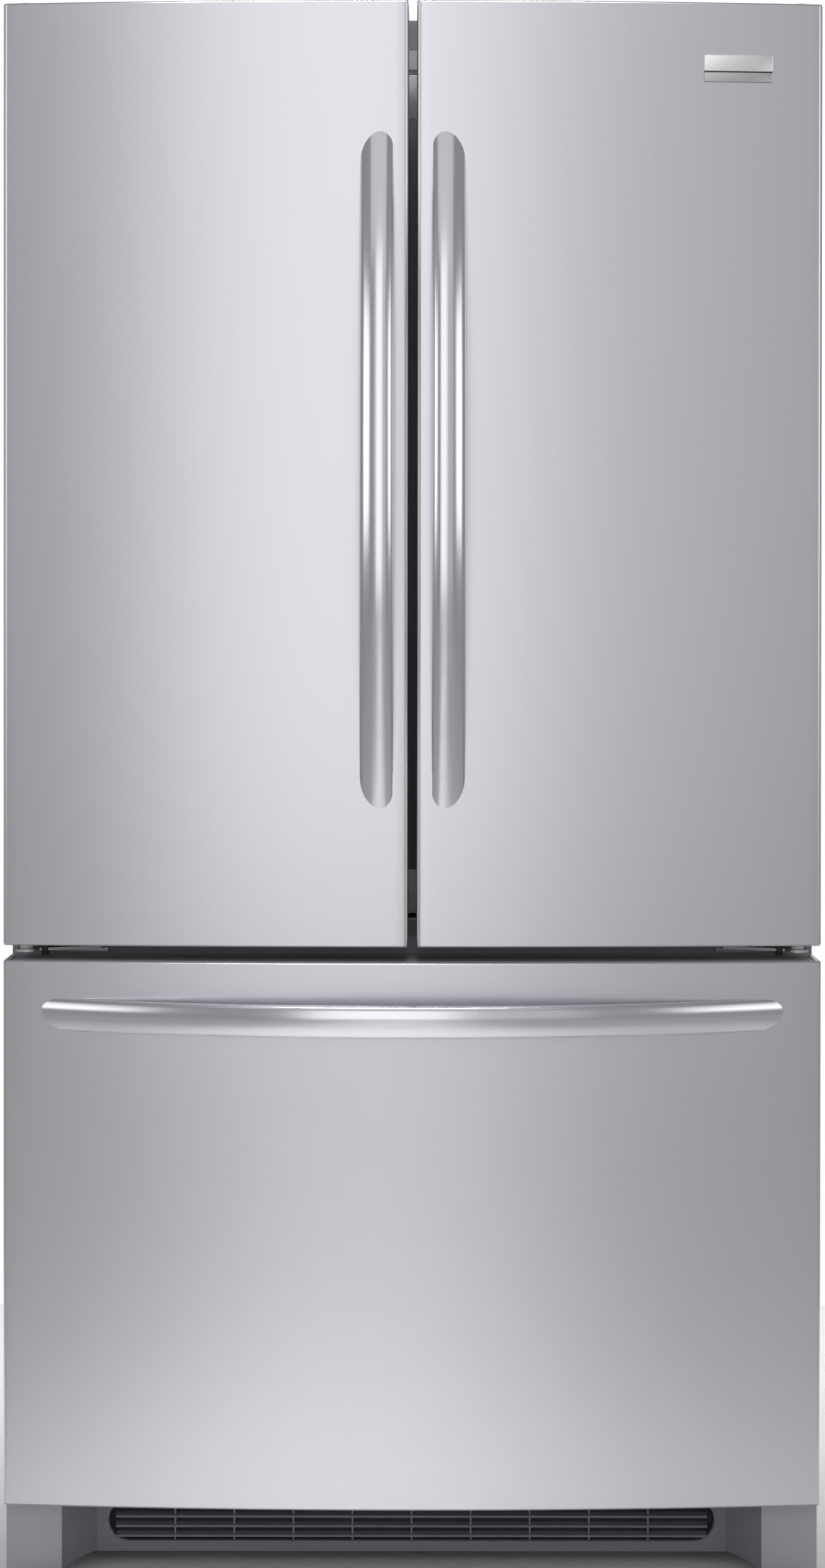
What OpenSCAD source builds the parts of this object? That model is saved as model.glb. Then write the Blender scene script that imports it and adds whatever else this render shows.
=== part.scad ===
// French door refrigerator: two upper doors over one wide freezer drawer.
// The front faces -Y, +X is to the right, and the floor is z = 0.

/* [Cabinet] */
// Width across the cabinet and the closed doors
width = 908; // [890:1:920]
// Depth from the handle fronts to the back panel
depth = 890; // [880:1:900]
// Height of the cabinet's top sheet above the floor
case_top = 1752; // [1748:1:1770]
// Distance from the handle fronts to the cabinet's front face
case_setback = 150; // [150:1:156]
// Thickness of the insulated side walls
wall = 48; // [46:1:50]
// Thickness of the insulated back wall
back_wall = 55; // [50:1:60]
// Thickness of the insulated ceiling
ceiling = 54; // [50:1:56]
// Thickness of the outer steel sheet
sheet = 1.2; // [0.8:0.1:1.4]
// Thickness of the plastic liners
liner = 2; // [1.5:0.1:2]
// Height of the base pan above the floor
base_z = 46; // [46:1:48]
// Lower face of the rail between the two compartments
rail_bottom = 672; // [670:1:674]
// Upper face of the rail between the two compartments
rail_top = 732; // [730:1:733]
// Height of the freezer's inner floor
freezer_floor = 110; // [104:1:112]
// Ceiling of the machine compartment
machine_top = 300; // [296:1:302]
// Depth of the machine compartment, from the back panel
machine_deep = 230; // [226:1:232]

/* [Doors] */
// Top edge of the upper doors
door_top = 1754; // [1754:1:1756]
// Bottom edge of the upper doors
door_bottom = 711; // [710:1:713]
// Top edge of the freezer drawer
drawer_top = 694; // [690:1:695]
// Bottom edge of the freezer drawer
drawer_bottom = 89; // [88:1:94]
// Gap between the two upper doors
door_gap = 9; // [8:0.5:10]
// How far the bowed front stands out at the centre line
bow = 20; // [16:1:22]
// Distance from the handle fronts to the doors' front at the centre line
handle_reach = 58; // [56:1:60]
// Thickness of a door at its outer edge, without its gasket
door_edge = 58; // [57:1:59]
// Thickness of the plastic caps at the ends of a door
cap = 7; // [6:1:8]
// Distance of the hinge pins from the cabinet's side
pin_inset = 22; // [22:1:24]
// Distance of the hinge pins behind the door's outer front edge
pin_back = 30; // [29:1:31]

/* [Handles] */
// Width of a handle's broad face
handle_w = 36; // [30:1:38]
// Thickness of a handle's bar
handle_t = 13; // [11:1:14]
// Lower end of the door handles
handle_bottom = 865; // [800:1:900]
// Upper end of the door handles
handle_top = 1609; // [1560:1:1640]
// Distance of the door handles from the centre line
handle_x = 40; // [38:1:44]
// Length of the drawer handle
drawer_handle_l = 822; // [780:2:830]
// Height of the drawer handle's middle
drawer_handle_z = 634; // [620:1:645]

/* [Interior] */
// Height of the lower pair of glass shelves
low_shelf_z = 1240; // [1220:1:1260]
// Height of the upper pair of glass shelves
high_shelf_z = 1460; // [1440:1:1480]
// Height of the glass cover over the crispers
crisper_cover_z = 1042; // [1038:1:1060]
// Underside of the crispers
crisper_bottom = 852; // [850:1:860]
// Rim of the crispers
crisper_rim = 1028; // [1000:1:1028]
// Underside of the wide lower drawer
deli_bottom = 742; // [740:1:750]
// Rim of the wide lower drawer
deli_rim = 834; // [820:1:836]
// Front edge of the shelves, behind the cabinet's front face
shelf_setback = 105; // [100:1:110]
// Height of the lowest bin on each door
low_bin_z = 790; // [780:1:830]
// Height of the left door's middle bin
middle_bin_z = 1080; // [1050:1:1110]
// Height of the left door's upper bin
high_bin_z = 1370; // [1340:1:1400]
// Height of the right door's upper bin
right_bin_high_z = 1140; // [1100:1:1200]
// Height of a door bin
bin_h = 105; // [90:1:115]
// Underside of the dairy box on the right door
dairy_bottom = 1430; // [1400:1:1440]
// Rim of the dairy box, where its lid lies
dairy_rim = 1550; // [1520:1:1552]

/* [Running gear] */
// Radius of the rear rollers
roller_r = 22; // [20:0.5:22]
// Distance of rollers and feet from the centre line
foot_x = 400; // [390:1:400]
// Radius of the levelling feet
foot_r = 18; // [15:1:20]

/* [Hidden] */
$fn = 64;

steel = [0.80, 0.80, 0.82];
grey = [0.53, 0.54, 0.56];
white = [0.93, 0.94, 0.94];
clear = [0.80, 0.88, 0.90, 0.45];
zinc = [0.70, 0.71, 0.72];
black = [0.12, 0.12, 0.13];

// Heights, as pairs of low and high or as lists
rail_z = [rail_bottom, rail_top];
handle_z = [handle_bottom, handle_top];
shelf_z = [low_shelf_z, high_shelf_z];
crisper_z = [crisper_bottom, crisper_rim];
deli_z = [deli_bottom, deli_rim];
left_bin_z = [low_bin_z, middle_bin_z, high_bin_z];
right_bin_z = [low_bin_z, right_bin_high_z];
dairy_z = [dairy_bottom, dairy_rim];

// Faces of the cabinet, front to back
half_w = width / 2;
front = -depth / 2;
face_y = front + case_setback;
back_y = depth / 2;
cavity_x = half_w - wall;
cavity_back = back_y - back_wall;
cavity_top = case_top - ceiling;
machine_y = back_y - machine_deep;
step_y = machine_y - 25;
step_z = machine_top + 20;
seam = 0.5;

// Faces of the doors, front to back
door_front = front + handle_reach;
edge_front = door_front + bow;
door_back = edge_front + door_edge;
bow_r = (half_w * half_w + bow * bow) / (2 * bow);
bow_y = door_front + bow_r;
door_inner = door_gap / 2;
pin_x = half_w - pin_inset;
pin_y = edge_front + pin_back;
pin_r = 5;
gasket_back = face_y - 0.5;
gasket_w = 14;
gasket_side = pin_inset + 1;

// The flap that closes the gap between the doors
flap_x = [-38, 20];
flap_y = [face_y, face_y + 22];
flap_z = [rail_z[1] + 8, cavity_top - 8];
flap_pivot = [-30, face_y + 11];
flap_knuckles = [flap_z[0] + 120, (flap_z[0] + flap_z[1]) / 2, flap_z[1] - 120];

// Frame of ribs on the back of each door
rib_w = 28;
rib_back = door_back + 59;
rib_z = [rail_z[1] + 13, cavity_top - 13];
rib_outer = cavity_x - 14;
left_rib_inner = 52;
right_rib_inner = 45;
bin_back = door_back + 104;
bin_wall = 3;

// Inside the compartments
shelf_front = face_y + shelf_setback;
shelf_back = cavity_back - 10;
inner_x = cavity_x - liner;
tray_wall = 3;
panel_seam = 0.2;
track_x = [88, 376];
rail_bar_z = [420, 465];
rail_bar_y = [face_y + 10, face_y + 490];
lower_basket_z = [124, 384];
upper_basket_z = [472, 566];
basket_x = 358;
fan_z = 610;
fan_r = 46;
fan_hole_r = 50;
roller_y = 400;
foot_y = face_y + 40;
axle_r = 4;
screw_r = 6;
valve_x = -380;
gland_x = 380;
outlet_z = 272;

// Inside the machine compartment
compressor_at = [250, 330];
compressor_r = 78;
compressor_z = 66;
cooler_fan_at = [95, 340, 150];
cooler_fan_r = 70;
cooler_x = [-380, -50];
cooler_pipe_y = [260, 300, 340, 380];
cooler_pipe_z = [80, 130, 180, 230];
pipe_r = 4;

// A box between two opposite corners
module block(a, b) {
    translate(a)
        cube(b - a);
}

// The same shape on the left and on the right
module both() {
    children();
    mirror([1, 0, 0])
        children();
}

// A box open at the top, with walls and floor of thickness t
module tray(a, b, t) {
    difference() {
        block(a, b);
        block(a + [t, t, t], [b[0] - t, b[1] - t, b[2] + 1]);
    }
}

// Plan of a door's bowed slab from x0 to x1, set in by t and ending at y1
module bowed_plan(x0, x1, t, y1) {
    intersection() {
        translate([0, bow_y])
            circle(r = bow_r - t, $fn = 720);
        translate([x0, door_front - 1])
            square([x1 - x0, y1 - door_front + 1]);
    }
}

// Steel front skin of a door, with side returns and no back
module door_skin(x0, x1, z0, z1) {
    translate([0, 0, z0 + cap])
        linear_extrude(z1 - z0 - 2 * cap)
            difference() {
                bowed_plan(x0, x1, 0, door_back - 4);
                bowed_plan(x0 + sheet, x1 - sheet, sheet, door_back);
            }
}

// Moulded end caps above and below a door's skin
module door_caps(x0, x1, z0, z1) {
    for (z = [z0, z1 - cap])
        translate([0, 0, z])
            linear_extrude(cap)
                bowed_plan(x0, x1, 0, door_back);
}

// Foam filling between the caps
module door_foam(x0, x1, z0, z1) {
    translate([0, 0, z0 + cap])
        linear_extrude(z1 - z0 - 2 * cap)
            bowed_plan(x0 + sheet, x1 - sheet, sheet, door_back - 4);
}

// Back plate of a door, in the four millimetres behind the foam
module door_plate(x0, x1, z0, z1) {
    block([x0, door_back - 4, z0 + cap], [x1, door_back, z1 - cap]);
}

// A rectangular ring of magnetic gasket
module gasket_ring(x0, x1, z0, z1) {
    difference() {
        block([x0, door_back, z0], [x1, gasket_back, z1]);
        block([x0 + gasket_w, door_back - 1, z0 + gasket_w],
              [x1 - gasket_w, gasket_back + 1, z1 - gasket_w]);
    }
}

// Pocket for a hinge pin in the end of a door
module pin_pocket(x, z0, z1) {
    translate([x, pin_y, z0])
        cylinder(h = z1 - z0, r = pin_r + 0.4);
}

// A bowed bar: length l along X, rising from y = 0 to y = -reach, height w along Z
module bowed_bar(l, reach, w, t) {
    r = (l * l / 4 + reach * reach) / (2 * reach);
    translate([0, 0, -w / 2])
        linear_extrude(w)
            intersection() {
                difference() {
                    translate([0, r - reach])
                        circle(r = r, $fn = 360);
                    translate([0, r - reach + t])
                        circle(r = r, $fn = 360);
                }
                translate([-l / 2, -reach - 1])
                    square([l, reach + 1]);
            }
    for (s = [-1, 1])
        translate([s * (l / 2 - 34), 0, -w / 2])
            linear_extrude(w)
                polygon([[s * 34, -1], [s * 34, 3], [-s * 26, 3], [-s * 26, -7], [0, -5]]);
}

module cabinet_wrapper() {
    color(grey) {
        both() {
            block([half_w - sheet, face_y, 25], [half_w, back_y - sheet, case_top]);
            block([cavity_x, face_y, 25], [half_w, face_y + sheet, case_top]);
        }
        block([-half_w, face_y, case_top - sheet], [half_w, back_y - sheet, case_top]);
        block([-cavity_x, face_y, cavity_top], [cavity_x, face_y + sheet, case_top]);
    }
}

module rear_panel() {
    color(zinc)
        block([-half_w, back_y - sheet, machine_top], [half_w, back_y, case_top]);
}

module base_pan() {
    wheel_gap = 16;
    color(zinc) {
        block([-cavity_x, face_y + 2, base_z], [cavity_x, back_y - 4, base_z + 2]);
        both() {
            block([foot_x + 22, face_y + 2, 26], [half_w - sheet, back_y - 4, base_z + 2]);
            for (x = [foot_x - wheel_gap - 2, foot_x + wheel_gap])
                block([x, roller_y - 25, 12], [x + 2, roller_y + 25, base_z]);
            translate([foot_x - wheel_gap - 3, roller_y, roller_r])
                rotate([0, 90, 0])
                    cylinder(h = 2 * wheel_gap + 6, r = axle_r);
            difference() {
                block([foot_x - 22, foot_y - 30, 30], [foot_x + 12, foot_y + 30, base_z]);
                translate([foot_x, foot_y, 29])
                    cylinder(h = base_z, r = screw_r + 0.4);
            }
        }
    }
}

module cabinet_foam() {
    y0 = face_y + sheet + seam;
    y1 = back_y - sheet - seam;
    x = cavity_x - seam;
    color([0.93, 0.88, 0.70]) {
        both()
            block([cavity_x, y0, base_z + 2], [half_w - sheet, y1, case_top - sheet]);
        block([-x, y0, cavity_top], [x, y1, case_top - sheet]);
        block([-x, cavity_back, rail_z[1]], [x, y1, cavity_top - seam]);
        block([-x, face_y + 15, rail_z[0]], [x, y1, rail_z[1] - seam]);
        block([-x, cavity_back, step_z], [x, y1, rail_z[0] - seam]);
        block([-x, machine_y + seam, machine_top], [x, y1, step_z - seam]);
        block([-x, step_y, freezer_floor], [x, machine_y, step_z]);
        block([-x, y0, base_z + 2], [x, machine_y, freezer_floor - seam]);
    }
}

// Liner of the upper compartment: five walls, open at the front
module fresh_liner() {
    color(white)
        difference() {
            block([-cavity_x, face_y + 2, rail_z[1]], [cavity_x, cavity_back, cavity_top]);
            block([-inner_x, face_y, rail_z[1] + liner],
                  [inner_x, cavity_back - liner, cavity_top - liner]);
        }
}

// Liner of the freezer, stepped over the machine compartment
module freezer_liner() {
    color(white)
        difference() {
            union() {
                block([-cavity_x, face_y + 2, freezer_floor], [cavity_x, step_y, rail_z[0]]);
                block([-cavity_x, step_y - 1, step_z], [cavity_x, cavity_back, rail_z[0]]);
            }
            block([-inner_x, face_y, freezer_floor + liner],
                  [inner_x, step_y - liner, rail_z[0] - liner]);
            block([-inner_x, face_y, step_z + liner],
                  [inner_x, cavity_back - liner, rail_z[0] - liner]);
        }
}

module mid_rail() {
    color(grey)
        block([-cavity_x, face_y, rail_z[0]], [cavity_x, face_y + 14, rail_z[1]]);
}

// Steel plates and pins that carry the upper doors, top and centre
module hinge_plates() {
    plate = 3;
    over = door_top + 2;
    low = (door_bottom + drawer_top) / 2 - plate / 2;
    color(zinc)
        both() {
            block([pin_x - 62, face_y + 5, case_top], [pin_x + 12, face_y + 90, over]);
            block([pin_x - 62, face_y + 5, over], [pin_x + 12, face_y + 90, over + plate]);
            block([pin_x - 12, pin_y, over], [pin_x + 12, face_y + 6, over + plate]);
            translate([pin_x, pin_y, over])
                cylinder(h = plate, r = 12);
            translate([pin_x, pin_y, door_top - 22])
                cylinder(h = 26, r = pin_r);
            block([pin_x - 80, face_y - 3, drawer_top + 1], [pin_x + 12, face_y, door_bottom - 0.5]);
            block([pin_x - 12, pin_y, low], [pin_x + 12, face_y, low + plate]);
            translate([pin_x, pin_y, low])
                cylinder(h = plate, r = 12);
            translate([pin_x, pin_y, low])
                cylinder(h = 36, r = pin_r);
            translate([pin_x, pin_y, low + plate])
                cylinder(h = door_bottom - low - plate - 0.4, r = 9);
        }
}

module hinge_covers() {
    color(grey)
        both()
            difference() {
                block([pin_x - 70, face_y + 12, case_top], [pin_x + 18, face_y + 130, case_top + 13]);
                block([pin_x - 66, face_y + 3, case_top - 1], [pin_x + 14, face_y + 126, case_top + 10]);
            }
}

// Louvred kick plate between two end blocks
module toe_grille() {
    block_front = edge_front + 25;
    panel_front = block_front + 34;
    panel_x = half_w - 98;
    panel_z = [18, 84];
    louvre_x = 343;
    color([0.35, 0.36, 0.37]) {
        both() {
            block([half_w - 62, block_front, 8], [half_w, face_y, 84]);
            translate([0, 0, 8])
                linear_extrude(76)
                    polygon([[half_w - 62, block_front], [half_w - 62, face_y],
                             [panel_x, face_y], [panel_x, panel_front]]);
        }
        difference() {
            block([-panel_x, panel_front, panel_z[0]], [panel_x, face_y, panel_z[1]]);
            block([-louvre_x, panel_front - 1, 30], [louvre_x, face_y + 1, 76]);
        }
        for (i = [0:3])
            block([-louvre_x, panel_front + 2, 34 + i * 11], [louvre_x, panel_front + 9, 37 + i * 11]);
        for (i = [-5:5])
            block([i * 67 - 1, panel_front + 4, 30], [i * 67 + 1, panel_front + 9, 76]);
    }
}

module levelling_feet() {
    color(black)
        both() {
            translate([foot_x, foot_y, 0])
                cylinder(h = 8, r = foot_r);
            translate([foot_x, foot_y, 0])
                cylinder(h = base_z - 1, r = screw_r);
        }
}

module light_panel() {
    color(clear)
        block([-170, 40, cavity_top - liner - 12], [170, 150, cavity_top - liner]);
}

// Cold air duct up the back wall, with side vents
module air_duct() {
    color(white)
        difference() {
            block([-75, cavity_back - liner - 14, crisper_cover_z + 20], [75, cavity_back - liner, 1665]);
            for (z = [1120, 1330, 1550])
                for (x = [-60, 20])
                    block([x, cavity_back - liner - 15, z], [x + 40, cavity_back - liner - 8, z + 8]);
        }
}

module shelf_tracks() {
    color(zinc)
        both()
            for (x = track_x)
                block([x, cavity_back - liner - 5, 1065], [x + 12, cavity_back - liner, 1660]);
}

// Moulded frames round the glass of the shelves and the crisper cover
module shelf_frames() {
    rim = 14;
    color(white) {
        for (z = shelf_z)
            both() {
                difference() {
                    block([4, shelf_front, z - 14], [inner_x - 4, shelf_back - 8, z]);
                    block([4 + rim, shelf_front + rim, z - 15],
                          [inner_x - 4 - rim, shelf_back - 8 - rim, z + 1]);
                }
                for (x = track_x)
                    block([x + 4, shelf_front + 40, z - 34], [x + 8, cavity_back - liner - 5, z - 14]);
            }
        difference() {
            block([-inner_x + 1, shelf_front, crisper_cover_z - 12],
                  [inner_x - 1, shelf_back, crisper_cover_z]);
            block([-inner_x + 1 + rim, shelf_front + rim, crisper_cover_z - 13],
                  [inner_x - 1 - rim, shelf_back - rim, crisper_cover_z + 1]);
        }
        block([-inner_x + 1, shelf_front + 4, deli_z[1] + 5],
              [inner_x - 1, shelf_back, deli_z[1] + 13]);
    }
}

module shelf_glass() {
    rim = 14;
    color(clear) {
        for (z = shelf_z)
            both()
                block([4 + rim, shelf_front + rim, z - 7],
                      [inner_x - 4 - rim, shelf_back - 8 - rim, z - 3]);
        block([-inner_x + 1 + rim, shelf_front + rim, crisper_cover_z - 7],
              [inner_x - 1 - rim, shelf_back - rim, crisper_cover_z - 3]);
    }
}

module crisper() {
    color(clear)
        tray([6, shelf_front + 8, crisper_z[0]], [inner_x - 10, shelf_back - 12, crisper_z[1]], tray_wall);
}

module crisper_left() {
    mirror([1, 0, 0])
        crisper();
}

module crisper_right() {
    crisper();
}

module deli_drawer() {
    color(clear)
        tray([10 - inner_x, shelf_front + 8, deli_z[0]], [inner_x - 10, shelf_back - 12, deli_z[1]],
             tray_wall);
}

// Plate in front of the evaporator, with a round hole for its fan
module evaporator_cover() {
    y = cavity_back - 46;
    color(white)
        difference() {
            block([4 - inner_x, y, step_z + 6], [inner_x - 4, cavity_back - liner, rail_z[0] - 4]);
            block([8 - inner_x, y + 3, step_z + 5], [inner_x - 8, cavity_back, rail_z[0] - 8]);
            translate([0, y - 1, fan_z])
                rotate([-90, 0, 0])
                    cylinder(h = 6, r = fan_hole_r);
        }
}

// Straight tubes of the evaporator, through thin fins
module evaporator_coil() {
    tube_r = 4.5;
    tube_l = 600;
    tube_z = [for (i = [0:4]) step_z + 24 + i * 34];
    fin = 1.2;
    pitch = 32;
    y = cavity_back - 20;
    color(zinc) {
        for (z = tube_z)
            translate([-tube_l / 2, y, z])
                rotate([0, 90, 0])
                    cylinder(h = tube_l, r = tube_r);
        for (i = [-9:9])
            difference() {
                block([i * pitch - fin / 2, y - 16, step_z + 12], [i * pitch + fin / 2, y + 15, step_z + 172]);
                for (z = tube_z)
                    translate([i * pitch - 1, y, z])
                        rotate([0, 90, 0])
                            cylinder(h = 2, r = tube_r);
            }
    }
}

module fan_motors() {
    color(black) {
        translate([0, cavity_back - 16, fan_z])
            rotate([-90, 0, 0])
                cylinder(h = 13, r = 17);
        translate(cooler_fan_at + [1, 0, 0])
            rotate([0, 90, 0])
                cylinder(h = 40, r = 22);
        block([cooler_fan_at[0] + 23, cooler_fan_at[1] - 20, base_z + 2],
              [cooler_fan_at[0] + 31, cooler_fan_at[1] + 20, cooler_fan_at[2]]);
    }
}

// Impeller about +Z: a hub with flat blades
module impeller(r, hub, h) {
    cylinder(h = h, r = hub);
    for (a = [0:60:300])
        rotate([0, 0, a])
            translate([hub - 2, 0, h / 2])
                rotate([32, 0, 0])
                    translate([0, -14, -0.8])
                        cube([r - hub + 2, 28, 1.6]);
}

module evaporator_fan() {
    color(grey)
        translate([0, cavity_back - 16.5, fan_z])
            rotate([90, 0, 0])
                impeller(fan_r, 14, 16);
}

module condenser_fan() {
    color(grey)
        translate(cooler_fan_at)
            rotate([0, -90, 0])
                impeller(cooler_fan_r, 18, 18);
}

module ice_maker() {
    color(white)
        difference() {
            block([6 - inner_x, 130, 582], [-250, 335, rail_z[0] - liner - 2]);
            block([14 - inner_x, 129, 600], [-258, 327, rail_z[0] - liner - 8]);
        }
}

// Welded shell on a mounting plate with four rubber feet, and its relay box
module compressor() {
    x = compressor_at[0];
    y = compressor_at[1];
    drum_top = compressor_z + 118;
    plate = 4;
    color(black) {
        translate([x, y, compressor_z])
            cylinder(h = drum_top - compressor_z, r = compressor_r);
        translate([x, y, drum_top])
            cylinder(h = 26, r1 = compressor_r, r2 = 50);
        for (i = [-1, 1])
            for (j = [-1, 1])
                translate([x + i * 70, y + j * 60, base_z + 2])
                    cylinder(h = 20, r = 9);
        block([x - 82, y - 68, compressor_z - 2], [x + 82, y + 68, compressor_z - 2 + plate]);
        block([x + 75, y - 30, compressor_z + 24], [x + 100, y + 30, compressor_z + 84]);
    }
}

// Condenser pipes through thin fins, on two brackets
module condenser_coil() {
    fin = 1.2;
    pitch = 38;
    fin_x = cooler_x[0] + 10;
    color(black)
        for (y = cooler_pipe_y)
            for (z = cooler_pipe_z)
                translate([cooler_x[0], y, z])
                    rotate([0, 90, 0])
                        cylinder(h = cooler_x[1] - cooler_x[0], r = pipe_r);
    color(zinc) {
        for (i = [0:8])
            difference() {
                block([fin_x + i * pitch, 245, 64], [fin_x + fin + i * pitch, 395, 245]);
                for (y = cooler_pipe_y)
                    for (z = cooler_pipe_z)
                        translate([fin_x - 1 + i * pitch, y, z])
                            rotate([0, 90, 0])
                                cylinder(h = 3, r = pipe_r);
            }
        for (x = [fin_x - 2, fin_x + 310])
            block([x, 300, base_z + 2], [x + 4, 340, 64]);
    }
}

// Slotted cover over the machine compartment
module machine_cover() {
    color(black)
        difference() {
            block([-half_w, back_y - sheet, 27], [half_w, back_y, machine_top - 1]);
            for (i = [0:11])
                for (z = [90, 180])
                    block([-330 + i * 24, back_y - 3, z], [-320 + i * 24, back_y + 1, z + 70]);
            for (i = [0:7])
                block([150 + i * 24, back_y - 3, 90], [160 + i * 24, back_y + 1, 200]);
            translate([valve_x, back_y - 3, outlet_z])
                rotate([-90, 0, 0])
                    cylinder(h = 5, r = 22);
            translate([gland_x, back_y - 3, outlet_z])
                rotate([-90, 0, 0])
                    cylinder(h = 5, r = 10);
        }
}

// Fixed members of the drawer's telescopic slides
module slide_rails() {
    color(zinc)
        both()
            block([inner_x - 11, rail_bar_y[0], rail_bar_z[0]], [inner_x, rail_bar_y[1], rail_bar_z[1]]);
}

module slide_middles() {
    color(zinc)
        both()
            block([inner_x - 21, rail_bar_y[0], rail_bar_z[0] + 5],
                  [inner_x - 12, rail_bar_y[1] - 6, rail_bar_z[1] - 5]);
}

// Guide in the ceiling that folds the flap as the left door opens
module flipper_guide() {
    z = flap_z[1] + 1.5;
    color(grey)
        difference() {
            block([-34, face_y + 3, z], [36, face_y + 62, cavity_top - liner]);
            block([-22, face_y + 2, z - 1], [12, face_y + 50, z + 2]);
        }
}

// Water inlet valve, with a threaded male inlet facing back
module water_valve() {
    color(white) {
        block([0.5 - cavity_x, back_y - 60, outlet_z - 22], [valve_x + 22, back_y - 20, outlet_z + 22]);
        translate([valve_x, back_y - 21, outlet_z])
            rotate([-90, 0, 0])
                cylinder(h = 19, r = 13.2);
    }
}

module cord_gland() {
    color(black)
        difference() {
            union() {
                translate([gland_x, back_y - 14, outlet_z])
                    rotate([-90, 0, 0])
                        cylinder(h = 14, r = 10);
                translate([gland_x, back_y - sheet - 5, outlet_z])
                    rotate([-90, 0, 0])
                        cylinder(h = 5, r = 15);
            }
            translate([gland_x, back_y - 15, outlet_z])
                rotate([-90, 0, 0])
                    cylinder(h = 16, r = 4.2);
        }
}

module rear_rollers() {
    color(black)
        for (x = [-foot_x, foot_x])
            translate([x - 13, roller_y, roller_r])
                rotate([0, 90, 0])
                    difference() {
                        cylinder(h = 26, r = roller_r);
                        translate([0, 0, -1])
                            cylinder(h = 28, r = axle_r + 0.3);
                    }
}

module left_skin() {
    color(steel)
        door_skin(-half_w, -door_inner, door_bottom, door_top);
}

module right_skin() {
    color(steel)
        door_skin(door_inner, half_w, door_bottom, door_top);
}

module drawer_skin() {
    color(steel)
        door_skin(-half_w, half_w, drawer_bottom, drawer_top);
}

// End caps of an upper door, with a pocket for each hinge pin
module upper_caps(side) {
    x0 = side < 0 ? -half_w : door_inner;
    difference() {
        door_caps(x0, x0 + half_w - door_inner, door_bottom, door_top);
        pin_pocket(side * pin_x, door_bottom - 1, door_bottom + cap + 1);
        pin_pocket(side * pin_x, door_top - cap - 1, door_top + 1);
    }
}

module left_caps() {
    color(grey)
        upper_caps(-1);
}

module right_caps() {
    color(grey)
        upper_caps(1);
}

module drawer_caps() {
    color(grey)
        door_caps(-half_w, half_w, drawer_bottom, drawer_top);
}

// Foam of an upper door, cleared round the hinge pins
module upper_foam(side) {
    x0 = side < 0 ? -half_w : door_inner;
    difference() {
        door_foam(x0, x0 + half_w - door_inner, door_bottom, door_top);
        pin_pocket(side * pin_x, door_bottom, door_bottom + 32);
        pin_pocket(side * pin_x, door_top - 26, door_top);
    }
}

module left_foam() {
    color([0.93, 0.88, 0.70])
        upper_foam(-1);
}

module right_foam() {
    color([0.93, 0.88, 0.70])
        upper_foam(1);
}

module drawer_foam() {
    color([0.93, 0.88, 0.70])
        door_foam(-half_w, half_w, drawer_bottom, drawer_top);
}

// Liner of an upper door: plate, and a frame of ribs that the bins hang between
module upper_liner(x0, x1) {
    difference() {
        block([x0, door_back, rib_z[0]], [x1, rib_back, rib_z[1]]);
        block([x0 + rib_w, door_back - 1, rib_z[0] + rib_w], [x1 - rib_w, rib_back + 1, rib_z[1] - rib_w]);
    }
}

module left_liner() {
    color(white) {
        upper_liner(-rib_outer, -left_rib_inner);
        door_plate(-half_w, -door_inner, door_bottom, door_top);
        for (z = flap_knuckles) {
            block([-left_rib_inner - 1, flap_pivot[1] - 6, z - 12],
                  [flap_pivot[0], flap_pivot[1] + 6, z + 12]);
            translate([flap_pivot[0], flap_pivot[1], z - 30])
                cylinder(h = 60, r = 3);
            translate([flap_pivot[0], flap_pivot[1], z - 12])
                cylinder(h = 24, r = 6);
        }
    }
}

module right_liner() {
    color(white) {
        upper_liner(right_rib_inner, rib_outer);
        door_plate(door_inner, half_w, door_bottom, door_top);
    }
}

module drawer_liner() {
    color(white) {
        door_plate(-half_w, half_w, drawer_bottom, drawer_top);
        difference() {
            block([-355, door_back, 140], [355, door_back + 18, 640]);
            block([-325, door_back - 1, 170], [325, door_back + 19, 610]);
        }
    }
}

module left_gasket() {
    color(grey)
        gasket_ring(-half_w + gasket_side, -8, door_bottom + 3, door_top - 32);
}

module right_gasket() {
    color(grey)
        gasket_ring(6, half_w - gasket_side, door_bottom + 3, door_top - 32);
}

module drawer_gasket() {
    color(grey)
        gasket_ring(-half_w + gasket_side, half_w - gasket_side, drawer_bottom + 4, drawer_top - 4);
}

// The whole bowed front as one slab between two heights
module front_slab(z0, z1) {
    translate([0, 0, z0])
        linear_extrude(z1 - z0)
            bowed_plan(-half_w, half_w, 0, door_back);
}

// Upright handle of an upper door
module door_handle(side) {
    middle = (handle_z[0] + handle_z[1]) / 2;
    difference() {
        translate([side * handle_x, door_front, middle])
            rotate([0, 90, 0])
                bowed_bar(handle_z[1] - handle_z[0], handle_reach, handle_w, handle_t);
        front_slab(handle_z[0] - 1, handle_z[1] + 1);
    }
}

module left_handle() {
    color(steel)
        door_handle(-1);
}

module right_handle() {
    color(steel)
        door_handle(1);
}

// The drawer's handle follows the bow, so its ends sit further back than its middle
module drawer_handle() {
    end_y = bow_y - sqrt(bow_r * bow_r - drawer_handle_l * drawer_handle_l / 4);
    color(steel)
        difference() {
            translate([0, end_y, drawer_handle_z])
                bowed_bar(drawer_handle_l, end_y - front, handle_w, handle_t);
            front_slab(drawer_bottom, drawer_top);
        }
}

module left_bins() {
    color(clear)
        for (z = left_bin_z)
            tray([rib_w + 1 - rib_outer, door_back + 1, z],
                 [-left_rib_inner - rib_w - 1, bin_back, z + bin_h], bin_wall);
}

module right_bins() {
    color(clear)
        for (z = right_bin_z)
            tray([right_rib_inner + rib_w + 1, door_back + 1, z],
                 [rib_outer - rib_w - 1, bin_back, z + bin_h], bin_wall);
}

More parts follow.
